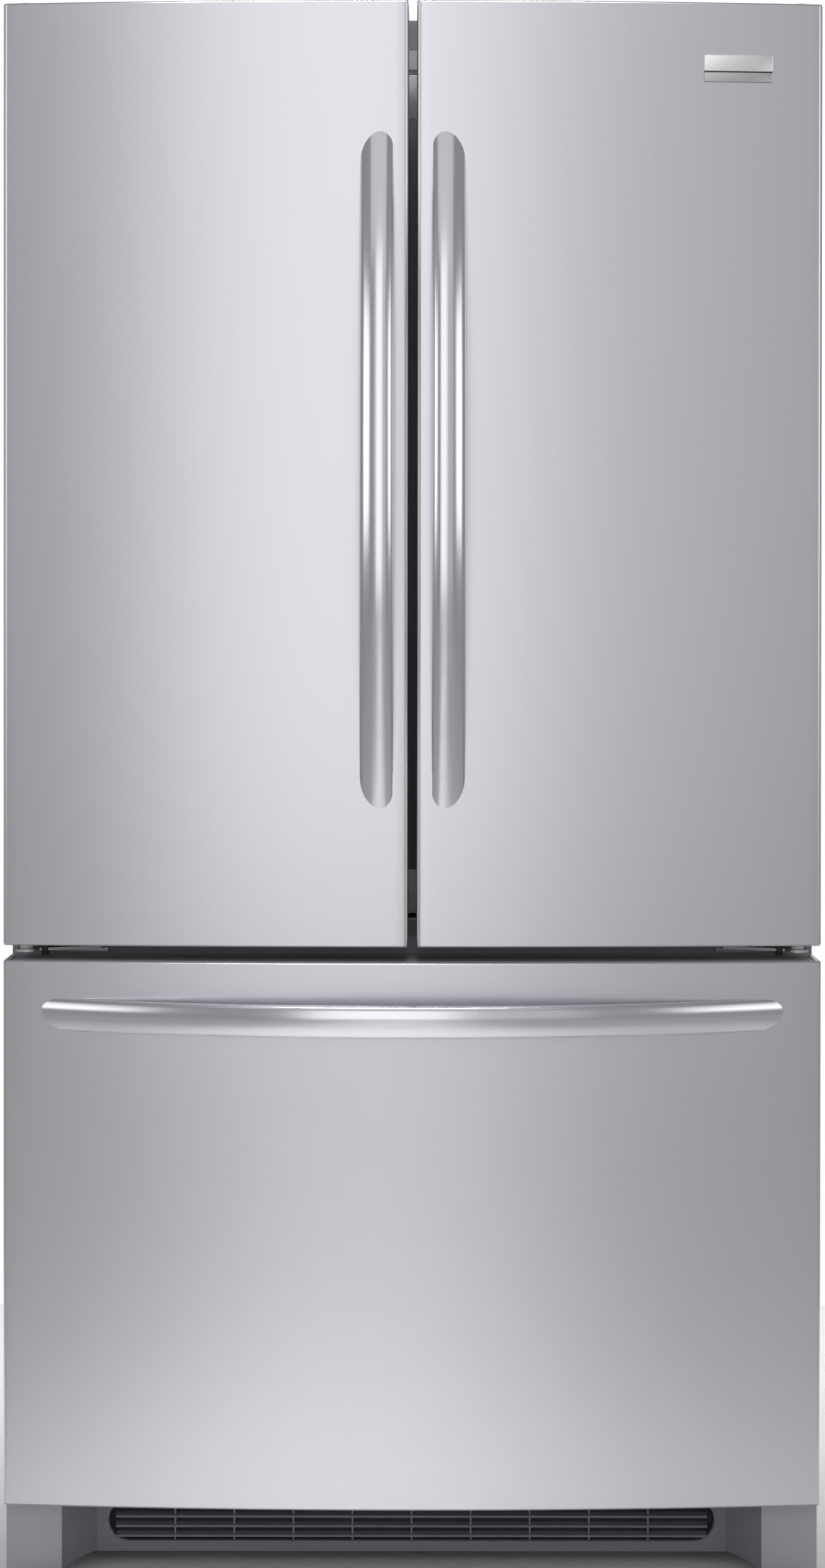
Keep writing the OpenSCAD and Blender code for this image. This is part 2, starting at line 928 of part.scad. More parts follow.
module dairy_box() {
    color(clear)
        tray([right_rib_inner + rib_w + 1, door_back + 1, dairy_z[0]],
             [rib_outer - rib_w - 1, bin_back - 8, dairy_z[1]], bin_wall);
}

// Lid that tips up and back to the door
module dairy_lid() {
    color(clear)
        block([right_rib_inner + rib_w + 2, door_back + 6, dairy_z[1] + 1],
              [rib_outer - rib_w - 2, bin_back - 4, dairy_z[1] + 4]);
}

// Flap between the doors, notched round its three knuckles
module flipper_bar() {
    color(grey)
        difference() {
            block([flap_x[0], flap_y[0], flap_z[0]], [flap_x[1], flap_y[1], flap_z[1]]);
            for (z = flap_knuckles) {
                block([flap_x[0] - 1, flap_y[0] - 1, z - 13], [flap_pivot[0] + 11, flap_y[1] + 1, z + 13]);
                translate([flap_pivot[0], flap_pivot[1], z - 31])
                    cylinder(h = 62, r = 3.4);
            }
        }
}

// Side plates with a ledge over the basket's rim, and the inner slide members, fixed to the drawer front
module drawer_brackets() {
    rim = lower_basket_z[1];
    plate_top = rail_bar_z[1] + 3;
    color(zinc)
        both() {
            block([basket_x + 2, door_back + 18, rim], [basket_x + 5, 180, plate_top]);
            block([basket_x - 14, door_back + 19, rim], [basket_x + 5, 176, rim + 3]);
            block([basket_x + 5, door_back, rail_bar_z[0] + 10], [inner_x - 22, 184, rail_bar_z[1] - 10]);
            block([basket_x + 2, door_back, rim], [basket_x + 12, door_back + 18, plate_top]);
        }
}

// Basket of five flat panels, with a fine seam between them
module lower_basket() {
    y = [door_back + 19, 176];
    z = lower_basket_z;
    wall_z = z[0] + tray_wall + panel_seam;
    inner = basket_x - tray_wall;
    color(white) {
        block([-basket_x, y[0], z[0]], [basket_x, y[1], z[0] + tray_wall]);
        both()
            block([inner, y[0], wall_z], [basket_x, y[1], z[1]]);
        for (y0 = [y[0], y[1] - tray_wall])
            block([panel_seam - inner, y0, wall_z], [inner - panel_seam, y0 + tray_wall, z[1]]);
    }
}

module upper_basket() {
    color(white) {
        tray([14 - basket_x, door_back + 26, upper_basket_z[0]], [basket_x - 14, 100, upper_basket_z[1]],
             tray_wall);
        both()
            block([basket_x - 15, door_back + 26, 468.5], [basket_x + 5, 100, 471.5]);
        both()
            block([basket_x - 17, door_back + 26, 468.5], [basket_x - 14, 100, upper_basket_z[0] + 3]);
    }
}

cabinet_wrapper();
rear_panel();
base_pan();
cabinet_foam();
fresh_liner();
freezer_liner();
mid_rail();
hinge_plates();
hinge_covers();
toe_grille();
levelling_feet();
light_panel();
air_duct();
shelf_tracks();
shelf_frames();
shelf_glass();
crisper_left();
crisper_right();
deli_drawer();
evaporator_cover();
evaporator_coil();
fan_motors();
ice_maker();
compressor();
condenser_coil();
machine_cover();
slide_rails();
flipper_guide();
water_valve();
cord_gland();
rear_rollers();
evaporator_fan();
condenser_fan();
left_skin();
left_caps();
left_foam();
left_liner();
left_gasket();
left_handle();
left_bins();
flipper_bar();
right_skin();
right_caps();
right_foam();
right_liner();
right_gasket();
right_handle();
right_bins();
dairy_box();
dairy_lid();
drawer_skin();
drawer_caps();
drawer_foam();
drawer_liner();
drawer_gasket();
drawer_handle();
drawer_brackets();
lower_basket();
slide_middles();
upper_basket();
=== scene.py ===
import bmesh
import bpy
import numpy as np
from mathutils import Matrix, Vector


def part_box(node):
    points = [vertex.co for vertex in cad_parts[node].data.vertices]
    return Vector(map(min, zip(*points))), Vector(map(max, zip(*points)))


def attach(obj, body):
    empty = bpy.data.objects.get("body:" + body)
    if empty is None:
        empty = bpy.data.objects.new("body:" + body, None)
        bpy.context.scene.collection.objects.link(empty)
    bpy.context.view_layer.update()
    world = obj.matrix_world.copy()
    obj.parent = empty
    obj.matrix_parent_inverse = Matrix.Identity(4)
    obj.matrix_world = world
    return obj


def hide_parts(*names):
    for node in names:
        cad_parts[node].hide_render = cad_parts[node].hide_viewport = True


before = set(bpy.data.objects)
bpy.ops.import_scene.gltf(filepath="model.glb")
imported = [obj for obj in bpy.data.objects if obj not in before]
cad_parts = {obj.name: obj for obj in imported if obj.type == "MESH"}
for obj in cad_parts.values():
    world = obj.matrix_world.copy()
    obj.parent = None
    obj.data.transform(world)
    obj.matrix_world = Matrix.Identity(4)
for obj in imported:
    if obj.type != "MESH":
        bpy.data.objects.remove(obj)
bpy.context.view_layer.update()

# The view: a full-length look from three metres in front of the doors, at chest height.
# The lens is long and nearly level, so the cabinet's sides stay hidden and its upright edges stay upright.
VIEW_DISTANCE = 3.0
EYE_HEIGHT = 1.05
LOOK_DOWN = 0.32
VIEW_ROLL = 0.06
FILM_HEIGHT = 36.0
FOCAL_LENGTH = 62.1335
VIEW_SHIFT = -0.0823
EDGE_BOW = 0.020
front_low, front_high = (np.array(corner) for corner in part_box("drawer_skin"))
eye = bpy.data.cameras.new("eye")
eye.sensor_fit = "VERTICAL"
eye.sensor_height = FILM_HEIGHT
eye.sensor_width = FILM_HEIGHT
eye.lens = FOCAL_LENGTH
eye.shift_y = VIEW_SHIFT
eye.clip_start = 0.05
eye_object = bpy.data.objects.new("eye", eye)
eye_object.location = (0.0, front_low[1] + EDGE_BOW - VIEW_DISTANCE, EYE_HEIGHT)
eye_object.rotation_euler = (np.radians(90 - LOOK_DOWN), -np.radians(VIEW_ROLL), 0.0)
bpy.context.scene.collection.objects.link(eye_object)
bpy.context.scene.camera = eye_object
bpy.context.scene.view_settings.view_transform = "Standard"


# The light: two tall softboxes in front, the left one brighter, a narrow strip overhead that lays a pale band
# on the floor, and others above, beside and behind. Steel shows what stands around it, so their widths give
# the bright middle and the darker sides of the doors.
def softbox(name, place, aim, width, height, radiance, spread=180):
    """A rectangular area light at place that faces aim; its power is pi times its area times its radiance.
    spread is the full angle of its beam in degrees."""
    lamp = bpy.data.lights.new(name, "AREA")
    lamp.shape = "RECTANGLE"
    lamp.size = width
    lamp.size_y = height
    lamp.spread = np.radians(spread)
    lamp.energy = np.pi * width * height * radiance
    box = bpy.data.objects.new(name, lamp)
    way = np.array(aim, float) - np.array(place, float)
    turn = np.arctan2(way[0], way[1])
    tip = np.arctan2(-way[2], np.hypot(way[0], way[1]))
    box.rotation_euler = (np.pi / 2 - tip, 0.0, -turn)
    box.location = place
    box.visible_camera = False
    bpy.context.scene.collection.objects.link(box)


softbox("front_softbox", (-0.36, -4.7, 2.0), (-0.36, 0.0, 1.5), 1.7, 3.8, 1.0)
softbox("front_right_softbox", (1.25, -4.7, 2.0), (1.25, 0.0, 1.5), 1.5, 3.8, 0.26)
softbox("overhead_softbox", (-0.12, -2.05, 2.0), (-0.12, -2.05, 0.0), 0.35, 3.6, 1.2, 36)
softbox("high_softbox", (-0.15, -2.0, 3.0), (0.0, -0.4, 1.5), 2.2, 1.1, 0.36)
softbox("top_softbox", (0.0, -0.30, 3.4), (0.0, -0.34, 1.7), 0.5, 0.5, 4.0, 50)
softbox("left_softbox", (-3.5, -3.2, 2.0), (0.0, -0.4, 1.4), 2.2, 2.4, 0.16, 60)
softbox("right_softbox", (3.5, -3.2, 2.0), (0.0, -0.4, 1.4), 2.2, 2.4, 0.16, 60)
softbox("left_floor_softbox", (-0.95, 0.4, 2.2), (-0.95, 0.4, 0.0), 0.7, 1.3, 1.1, 30)
softbox("right_floor_softbox", (0.95, 0.4, 2.2), (0.95, 0.4, 0.0), 0.7, 1.3, 1.1, 30)
softbox("back_softbox", (0.6, 3.8, 2.2), (0.0, 0.0, 0.9), 2.6, 2.4, 2.6)

ROOM_FILL = 0.31
PAPER_WHITE = 1.0
world = bpy.data.worlds.new("studio")
world.use_nodes = True
bpy.context.scene.world = world
sky = world.node_tree
sky.nodes.clear()
sky_out = sky.nodes.new("ShaderNodeOutputWorld")
sky_mix = sky.nodes.new("ShaderNodeMixShader")
sky_path = sky.nodes.new("ShaderNodeLightPath")
sky_fill = sky.nodes.new("ShaderNodeBackground")
sky_fill.inputs["Color"].default_value = (0.96, 0.97, 1.0, 1)
sky_fill.inputs["Strength"].default_value = ROOM_FILL
sky_paper = sky.nodes.new("ShaderNodeBackground")
sky_paper.inputs["Color"].default_value = (1, 1, 1, 1)
sky_paper.inputs["Strength"].default_value = PAPER_WHITE
sky.links.new(sky_path.outputs["Is Camera Ray"], sky_mix.inputs["Fac"])
sky.links.new(sky_fill.outputs["Background"], sky_mix.inputs[1])
sky.links.new(sky_paper.outputs["Background"], sky_mix.inputs[2])
sky.links.new(sky_mix.outputs["Shader"], sky_out.inputs["Surface"])


# The floor: a plain sheet of pale board under the object, not part of it.
# It is one flat sheet, matt, with the faint mottle of painted board.
def surface(name, colour, rough, metal=0.0, grain=(60, 60, 60), tint=0.03, bump=0.05, spread=0.04, detail=4.0,
            clear=0.0):
    """A Principled finish whose colour, gloss and relief follow one noise, stretched by grain on Object
    coordinates. Tint and spread are how far colour and roughness vary, and clear is how much light passes."""
    mat = bpy.data.materials.new(name)
    mat.use_nodes = True
    tree = mat.node_tree
    shader = tree.nodes["Principled BSDF"]
    shader.inputs["Metallic"].default_value = metal
    shader.inputs["Transmission Weight"].default_value = clear
    where = tree.nodes.new("ShaderNodeTexCoord")
    stretch = tree.nodes.new("ShaderNodeMapping")
    stretch.inputs["Scale"].default_value = grain
    noise = tree.nodes.new("ShaderNodeTexNoise")
    noise.inputs["Scale"].default_value = 1.0
    noise.inputs["Detail"].default_value = detail
    colours = tree.nodes.new("ShaderNodeValToRGB")
    dark, light = colours.color_ramp.elements
    dark.color = (*(max(c * (1 - tint), 0) for c in colour), 1)
    light.color = (*(min(c * (1 + tint), 1) for c in colour), 1)
    dark.position = 0.3
    light.position = 0.7
    gloss = tree.nodes.new("ShaderNodeMapRange")
    gloss.inputs["To Min"].default_value = rough - spread
    gloss.inputs["To Max"].default_value = rough + spread
    relief = tree.nodes.new("ShaderNodeBump")
    relief.inputs["Strength"].default_value = bump
    relief.inputs["Distance"].default_value = 0.001
    tree.links.new(where.outputs["Object"], stretch.inputs["Vector"])
    tree.links.new(stretch.outputs["Vector"], noise.inputs["Vector"])
    tree.links.new(noise.outputs["Fac"], colours.inputs["Fac"])
    tree.links.new(colours.outputs["Color"], shader.inputs["Base Color"])
    tree.links.new(noise.outputs["Fac"], gloss.inputs["Value"])
    tree.links.new(gloss.outputs["Result"], shader.inputs["Roughness"])
    tree.links.new(noise.outputs["Fac"], relief.inputs["Height"])
    tree.links.new(relief.outputs["Normal"], shader.inputs["Normal"])
    return mat


FLOOR_SIDE = 4.0
FLOOR_FRONT = -7.0
FLOOR_BACK = 0.9
floor_mesh = bpy.data.meshes.new("studio_floor")
floor_corners = [(-FLOOR_SIDE, FLOOR_FRONT, 0), (FLOOR_SIDE, FLOOR_FRONT, 0),
                 (FLOOR_SIDE, FLOOR_BACK, 0), (-FLOOR_SIDE, FLOOR_BACK, 0)]
floor_mesh.from_pydata(floor_corners, [], [(0, 1, 2, 3)])
floor_mesh.materials.append(surface("pale_board", (0.86, 0.86, 0.86), 0.7, grain=(3, 3, 3), tint=0.01))
floor = bpy.data.objects.new("studio_floor", floor_mesh)
bpy.context.scene.collection.objects.link(floor)


# Steel door fronts: one sheet of brushed stainless per door, bent back at the sides with a small radius and
# hemmed behind. The whole front is one shallow bow, 20 mm deep over the cabinet's width.
HALF_WIDTH = front_high[0]
BOW_RADIUS = (HALF_WIDTH**2 + EDGE_BOW**2) / (2 * EDGE_BOW)
CROWN_Y = front_low[1]


def bow_y(x):
    """Depth of the bowed front at x: the near side of a circle of radius BOW_RADIUS."""
    return CROWN_Y + BOW_RADIUS - np.sqrt(BOW_RADIUS**2 - np.asarray(x) ** 2)


def door_plan(x0, x1, back, inset, corner, count=40):
    """Plan of a door as points (x, y): back corner, quarter circle at the front corner, points along the bow,
    and the same again mirrored. Inset draws the whole plan in."""
    a, b = x0 + inset, x1 - inset
    r = max(corner - inset, 0.0004)
    turn = np.linspace(0, np.pi / 2, 7)
    left = np.stack([a + r - r * np.cos(turn), bow_y(a + r) + inset + r - r * np.sin(turn)], 1)
    right = np.stack([b - r + r * np.cos(turn), bow_y(b - r) + inset + r - r * np.sin(turn)], 1)[::-1]
    x = np.linspace(a + r, b - r, count)[1:-1]
    front = np.stack([x, bow_y(x) + inset], 1)
    return np.concatenate([[[a, back - inset]], left, front, right, [[b, back - inset]]])


def loft(rings, closed_path=False):
    """Quads between rings of shape (rings, points, 3), each ring closed. The two ends get one flat face each,
    unless the last ring runs on into the first."""
    rings = np.asarray(rings, float)
    n, m = rings.shape[:2]
    rows = np.arange(n if closed_path else n - 1)[:, None]
    cols = np.arange(m)[None, :]
    after = (rows + 1) % n
    beside = (cols + 1) % m
    quads = np.stack([rows * m + cols, rows * m + beside, after * m + beside, after * m + cols], -1)
    faces = quads.reshape(-1, 4).tolist()
    if not closed_path:
        faces.append(list(range(m))[::-1])
        faces.append([(n - 1) * m + i for i in range(m)])
    return rings.reshape(-1, 3), faces


def joined(*parts):
    """Several (points, faces) solids as one."""
    points, faces, start = [], [], 0
    for p, f in parts:
        points.append(np.asarray(p, float))
        faces += [[i + start for i in face] for face in f]
        start += len(p)
    return np.concatenate(points), faces


def piece(name, solid, mat, body, node=None, sharp=35, bevel=0.0):
    """Makes a mesh object of (points, faces), turned outward, with its finish, the body that it rides on and the
    node that it stands for. Edges over sharp degrees stay crisp."""
    points, faces = solid
    mesh = bpy.data.meshes.new(name)
    mesh.from_pydata(np.asarray(points).tolist(), [], faces)
    work = bmesh.new()
    work.from_mesh(mesh)
    bmesh.ops.remove_doubles(work, verts=work.verts, dist=1e-6)
    bmesh.ops.recalc_face_normals(work, faces=work.faces)
    work.to_mesh(mesh)
    work.free()
    mesh.materials.append(mat)
    mesh.polygons.foreach_set("use_smooth", np.ones(len(mesh.polygons), bool))
    mesh.set_sharp_from_angle(angle=np.radians(sharp))
    obj = bpy.data.objects.new(name, mesh)
    bpy.context.scene.collection.objects.link(obj)
    if bevel:
        soft = obj.modifiers.new("edges", "BEVEL")
        soft.width = bevel
        soft.segments = 2
        soft.limit_method = "ANGLE"
        soft.harden_normals = True
    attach(obj, body)
    if node:
        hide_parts(*([node] if isinstance(node, str) else node))
    return obj


LIP = 0.0012
SHEET = 0.0011
SKIN_CORNER = 0.005
FOLD_EASE, FOLD_RISE = 0.0005, 0.0006
STEEL_COLOUR, STEEL_ROUGH = (0.705, 0.695, 0.735), 0.29
BRUSH_FINE, BRUSH_LONG = 1400, 3.0
door_steel = surface("brushed_stainless", STEEL_COLOUR, STEEL_ROUGH, 1.0, (BRUSH_FINE, BRUSH_FINE, BRUSH_LONG),
                     tint=0.012, bump=0.012, spread=0.02, detail=3)
drawer_steel = surface("brushed_stainless_level", STEEL_COLOUR, STEEL_ROUGH, 1.0,
                       (BRUSH_LONG, BRUSH_FINE, BRUSH_FINE), tint=0.012, bump=0.012, spread=0.02, detail=3)


def door_front(name, node, body, mat):
    """A C-shaped sheet: the door's plan and the same plan set in by the sheet, joined into one closed section.
    It stands between the lips of the two end caps, with its cut edges eased."""
    low, high = (np.array(c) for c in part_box(node.replace("_skin", "_caps")))
    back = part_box(node)[1][1]
    foot, head = low[2] + LIP, high[2] - LIP
    rings = []
    for z, ease in ((foot, FOLD_EASE), (foot + FOLD_RISE, 0), (head - FOLD_RISE, 0), (head, FOLD_EASE)):
        outer = door_plan(low[0], high[0], back, ease, SKIN_CORNER)
        inner = door_plan(low[0], high[0], back, SHEET, SKIN_CORNER)
        section = np.concatenate([outer, inner[::-1]])
        rings.append(np.column_stack([section, np.full(len(section), z)]))
    return piece(name, loft(rings), mat, body, node)


door_front("left_door_front", "left_skin", "left_door", door_steel)
door_front("right_door_front", "right_skin", "right_door", door_steel)
door_front("drawer_front", "drawer_skin", "drawer", drawer_steel)

# Door end caps: grey moulded plastic, pushed into the top and bottom of each steel front.
# Each shows as a thin lip beyond the steel, and is sunk in the middle behind a raised rim.
cap_plastic = surface("cap_plastic", (0.36, 0.365, 0.38), 0.5, grain=(700, 700, 700), tint=0.05, bump=0.08)
CAP_STEPS = [(0.0, 0.012), (0.0012, 0.012), (0.0012, 0.0065), (0.0, 0.0060), (0.0, 0.0011), (0.0004, 0.0005),
             (0.0011, 0.0005), (0.0011, 0.0015), (0.0066, 0.0015)]


def end_cap(low, high, level, inward):
    """One cap through CAP_STEPS, each a rise from the level and an inset from the door's plan: sunken middle,
    rim, lip, and step into the steel. Inward is +1 for a lower cap and -1 for an upper one."""
    rings = []
    for rise, inset in CAP_STEPS:
        plan = door_plan(low[0], high[0], high[1], inset, SKIN_CORNER)
        rings.append(np.column_stack([plan, np.full(len(plan), level + inward * rise)]))
    return loft(rings)


for side in ("left", "right", "drawer"):
    low, high = (np.array(c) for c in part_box(side + "_caps"))
    body = "drawer" if side == "drawer" else side + "_door"
    caps = joined(end_cap(low, high, low[2], 1), end_cap(low, high, high[2], -1))
    piece(side + "_end_caps", caps, cap_plastic, body, side + "_caps")

# Handles: solid satin stainless bars, arched out from the door, with a broad crowned face, a narrow flank on
# the side of the ridge, and ends that run out on the door in long pointed ovals.
handle_steel = surface("satin_handle", (0.75, 0.74, 0.78), 0.19, 1.0, (500, 500, 500), tint=0.01, bump=0.01,
                       spread=0.02, detail=3)
BAR_OVERRUN = 1.055
BAR_SINK = 0.0012
MILLIMETRE = 0.001
HANDLE_SECTION = MILLIMETRE * np.array([
    (-18.0, -11.5), (-16.9, -7.9), (-13.4, -4.6), (-6.5, -1.55), (0.0, -0.27), (5.0, 0.0), (8.5, -0.2),
    (11.5, -0.72), (15.4, -2.16), (17.4, -3.7), (18.0, -5.6), (17.9, -10.5), (15.5, -13.0), (-14.0, -13.6),
    (-17.2, -13.6)])


def smooth_ring(points, count):
    """A closed curve through a few points: each stretch is a cubic whose tangent at a point is half the chord
    between that point's two neighbours."""
    before, after = np.roll(points, 1, 0), np.roll(points, -1, 0)
    slope = (after - before) / 2
    t = np.linspace(0, 1, count, endpoint=False)[None, :, None]
    a, b = points[:, None], after[:, None]
    u, v = slope[:, None], np.roll(slope, -1, 0)[:, None]
    curve = (2*t**3 - 3*t**2 + 1)*a + (t**3 - 2*t**2 + t)*u + (3*t**2 - 2*t**3)*b + (t**3 - t**2)*v
    return curve.reshape(-1, 2)


def arched_bar(length, reach, ground, section):
    """The section carried along a circular arch; along is the path, across the width, up the height over the
    door. Each point is held just under the door's face where the arch dips into it, which cuts the ends to
    long ovals."""
    half = length / 2
    radius = (half**2 + reach**2) / (2 * reach)
    t = np.linspace(-1, 1, 121)
    along = half * BAR_OVERRUN * np.sin(t * np.pi / 2)
    crown = reach - radius + np.sqrt(radius**2 - along**2)
    ring = smooth_ring(section, 4)
    across = np.broadcast_to(ring[None, :, 0], (len(t), len(ring)))
    up = crown[:, None] + ring[None, :, 1]
    return along[:, None] + 0 * across, across, np.maximum(up, ground(along)[:, None] - BAR_SINK)


def handle(name, node, body, upright, mirror):
    """Places an arched bar: upright ones arch along Z, the level one along X with its ridge on top."""
    low, high = (np.array(c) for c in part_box(node))
    middle = (low + high) / 2
    section = HANDLE_SECTION * [mirror, 1]
    if upright:
        along, across, up = arched_bar(high[2] - low[2], CROWN_Y - low[1], lambda s: 0 * s, section)
        points = np.stack([middle[0] + across, CROWN_Y - up, middle[2] + along], -1)
    else:
        ends = bow_y((high[0] - low[0]) / 2)
        along, across, up = arched_bar(high[0] - low[0], ends - low[1], lambda s: ends - bow_y(s), section)
        points = np.stack([middle[0] + along, ends - up, middle[2] + across], -1)
    return piece(name, loft(points), handle_steel, body, node, sharp=60)


handle("left_door_handle", "left_handle", "left_door", True, 1)
handle("right_door_handle", "right_handle", "right_door", True, -1)
handle("freezer_handle", "drawer_handle", "drawer", False, 1)

# Badge: a small blank plate of bright metal near the right door's outer top corner, stuck on with tape.
# It has a bright upper field and a narrow satin lower one, parted by a dark groove.
def rounded_ring(a0, a1, b0, b1, radius, steps=5):
    """A rounded rectangle as points (a, b): four quarter arcs of steps points each."""
    r = max(min(radius, (a1 - a0) / 2 - 1e-5, (b1 - b0) / 2 - 1e-5), 1e-5)
    turn = np.linspace(0, np.pi / 2, steps)
    arcs = [(a1 - r, b1 - r), (a0 + r, b1 - r), (a0 + r, b0 + r), (a1 - r, b0 + r)]
    quarters = []
    for quarter, (a, b) in enumerate(arcs):
        angle = turn + quarter * np.pi / 2
        quarters.append(np.stack([a + r * np.cos(angle), b + r * np.sin(angle)], 1))
    return np.concatenate(quarters)


def stacked(rows, axis="z", closed_path=False, steps=5):
    """A solid through rounded rectangles (a0, a1, b0, b1, radius, depth) along one axis; a and b are the other
    two axes in order."""
    k = "xyz".index(axis)
    i, j = [n for n in range(3) if n != k]
    rings = np.zeros((len(rows), 4 * steps, 3))
    for ring, (a0, a1, b0, b1, radius, depth) in zip(rings, rows):
        ring[:, [i, j]] = rounded_ring(a0, a1, b0, b1, radius, steps)
        ring[:, k] = depth
    return loft(rings, closed_path)


def pillow(low, high, radius, edge, axis="z", steps=4):
    """A block with rounded corners, its two faces eased by edge."""
    k = "xyz".index(axis)
    i, j = [n for n in range(3) if n != k]
    rows = [(low[i] + e, high[i] - e, low[j] + e, high[j] - e, radius, d) for e, d in
            ((edge, low[k]), (edge * 0.3, low[k] + edge * 0.3), (0, low[k] + edge),
             (0, high[k] - edge), (edge * 0.3, high[k] - edge * 0.3), (edge, high[k]))]
    return stacked(rows, axis, steps=steps)


def on_bow(solid):
    """The same solid, its depths counted from the bowed front instead of from zero."""
    points, faces = solid
    points = points.copy()
    points[:, 1] += bow_y(points[:, 0])
    return points, faces


bright_metal = surface("bright_plate", (0.90, 0.90, 0.905), 0.30, 0.8, (300, 300, 300), tint=0.01, bump=0.01,
                       spread=0.02, detail=2)
satin_metal = surface("satin_plate", (0.56, 0.56, 0.57), 0.36, 0.8, (300, 300, 300), tint=0.01, bump=0.01,
                      spread=0.02, detail=2)
black_groove_and_slot_shade = surface("black_groove_and_slot_shade", (0.03, 0.03, 0.033), 0.5, grain=(200, 200, 200))
BADGE_LEFT, BADGE_RIGHT, BADGE_LOW, BADGE_HIGH = 0.3215, 0.3975, 1.6662, 1.6960
GROOVE_LOW, GROOVE_HIGH = 1.6767, 1.6779
BASE_INSET = 0.0003
base = pillow((BADGE_LEFT + BASE_INSET, -0.0009, BADGE_LOW + BASE_INSET),
              (BADGE_RIGHT - BASE_INSET, -0.0001, BADGE_HIGH - BASE_INSET), 0.002, 0.0002, "y")
upper = pillow((BADGE_LEFT, -0.0022, GROOVE_HIGH), (BADGE_RIGHT, -0.0008, BADGE_HIGH), 0.0015, 0.0004, "y")
lower = pillow((BADGE_LEFT, -0.0020, BADGE_LOW), (BADGE_RIGHT, -0.0008, GROOVE_LOW), 0.0015, 0.0004, "y")
piece("badge_base", on_bow(base), black_groove_and_slot_shade, "right_door")
piece("badge_upper", on_bow(upper), bright_metal, "right_door")
piece("badge_lower", on_bow(lower), satin_metal, "right_door")

# Toe grille: a moulded kick plate in dark grey plastic, clipped between two end blocks that hide the feet.
# Four tilted slats and thin ribs fill its long rounded opening, and a black sheet behind them is painted shade
# for the dark space behind the grille.
GRILLE_GRAIN = (500, 500, 500)
grille_plastic = surface("grille_plastic", (0.15, 0.155, 0.17), 0.42, grain=GRILLE_GRAIN, tint=0.04, bump=0.06)
block_plastic = surface("block_plastic", (0.37, 0.365, 0.40), 0.42, grain=GRILLE_GRAIN, tint=0.04, bump=0.06)
low, high = (np.array(c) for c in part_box("toe_grille"))
BLOCK_IN, PANEL_IN = 0.392, 0.356
PANEL_Y, PANEL_Z = -0.308, 0.018
BLOCK_EASE = 0.0008


def mirrored(solid):
    """The same solid on the other side of the middle plane."""
    points, faces = solid
    return points * [-1, 1, 1], faces


block_rows = [(low[1] + 0.0015, high[1], low[2] + 0.0015, high[2] - 0.0015, 0.003, high[0]),
              (low[1] + 0.0004, high[1], low[2] + 0.0004, high[2] - 0.0004, 0.003, high[0] - 0.0005),
              (low[1], high[1], low[2], high[2], 0.003, high[0] - 0.0018),
              (low[1], high[1], low[2], high[2], 0.003, BLOCK_IN + 0.0015),
              (low[1] + BLOCK_EASE, high[1], low[2], high[2], 0.003, BLOCK_IN)]
block = stacked(block_rows, "x")
slope_rows = []
for t in np.linspace(0, 1, 9):
    face = low[1] + BLOCK_EASE + (PANEL_Y - low[1] - BLOCK_EASE) * t
    foot = low[2] + (PANEL_Z - low[2]) * np.sin(t * np.pi / 2)
    slope_rows.append((face, high[1], foot, high[2], 0.001, BLOCK_IN - (BLOCK_IN - PANEL_IN) * t))
slope = stacked(slope_rows, "x")
blocks = joined(block, mirrored(block))
piece("toe_grille_blocks", blocks, block_plastic, "cabinet", "toe_grille")
OPEN_X, OPEN_LOW, OPEN_HIGH = 0.343, 0.030, 0.076
OPEN_RADIUS, RIM = 0.023, 0.001
PANEL_BACK = PANEL_Y + 0.008
hole = (-OPEN_X, OPEN_X, OPEN_LOW, OPEN_HIGH, OPEN_RADIUS)
rim = (-OPEN_X - RIM, OPEN_X + RIM, OPEN_LOW - RIM, OPEN_HIGH + RIM, OPEN_RADIUS + RIM)
edge = (-PANEL_IN, PANEL_IN, PANEL_Z, high[2], 0.001)
panel = stacked([(*edge, PANEL_BACK), (*edge, PANEL_Y), (*rim, PANEL_Y), (*hole, PANEL_Y + RIM),
                 (*hole, PANEL_BACK)], "y", closed_path=True)


def brick(low, high):
    """A small square block between two corners."""
    plan = (low[0], high[0], low[1], high[1], 1e-5)
    return stacked([(*plan, low[2]), (*plan, high[2])], steps=1)


def extruded(section, axis, start, end):
    """A closed outline (a, b) drawn out along one axis; a and b are the other two axes in order."""
    k = "xyz".index(axis)
    i, j = [n for n in range(3) if n != k]
    rings = np.zeros((2, len(section), 3))
    rings[:, :, [i, j]] = np.asarray(section, float)
    rings[0, :, k], rings[1, :, k] = start, end
    return loft(rings)


FIRST_SLAT, SLAT_PITCH, BAR_PITCH = 0.0335, 0.011, 0.067
slats = [extruded([(PANEL_Y + 0.0015, z), (PANEL_Y + 0.0015, z + 0.0022), (PANEL_Y + 0.0085, z + 0.0052),
                   (PANEL_Y + 0.0085, z + 0.003)], "x", -OPEN_X + 0.008, OPEN_X - 0.008)
         for z in FIRST_SLAT + SLAT_PITCH * np.arange(4)]
bars = [brick((x - 0.001, PANEL_Y + 0.003, OPEN_LOW - RIM), (x + 0.001, PANEL_BACK, OPEN_HIGH + RIM))
        for x in BAR_PITCH * np.arange(-4, 5)]
piece("toe_grille_panel", joined(panel, slope, mirrored(slope), *slats, *bars), grille_plastic, "cabinet",
      "toe_grille")
# Painted shade: a near-black sheet set just behind the opening stands in for the shadow inside the grille.
shadow_sheet_black = surface("shadow_sheet_black", (0.012, 0.012, 0.014), 0.7, grain=(90, 90, 90))
shadow_sheet = pillow((-0.352, PANEL_Y + 0.0095, 0.022), (0.352, PANEL_Y + 0.0125, 0.082), 0.004, 0.0005, "y")
piece("toe_grille_shadow_sheet", shadow_sheet, shadow_sheet_black, "cabinet", "toe_grille")


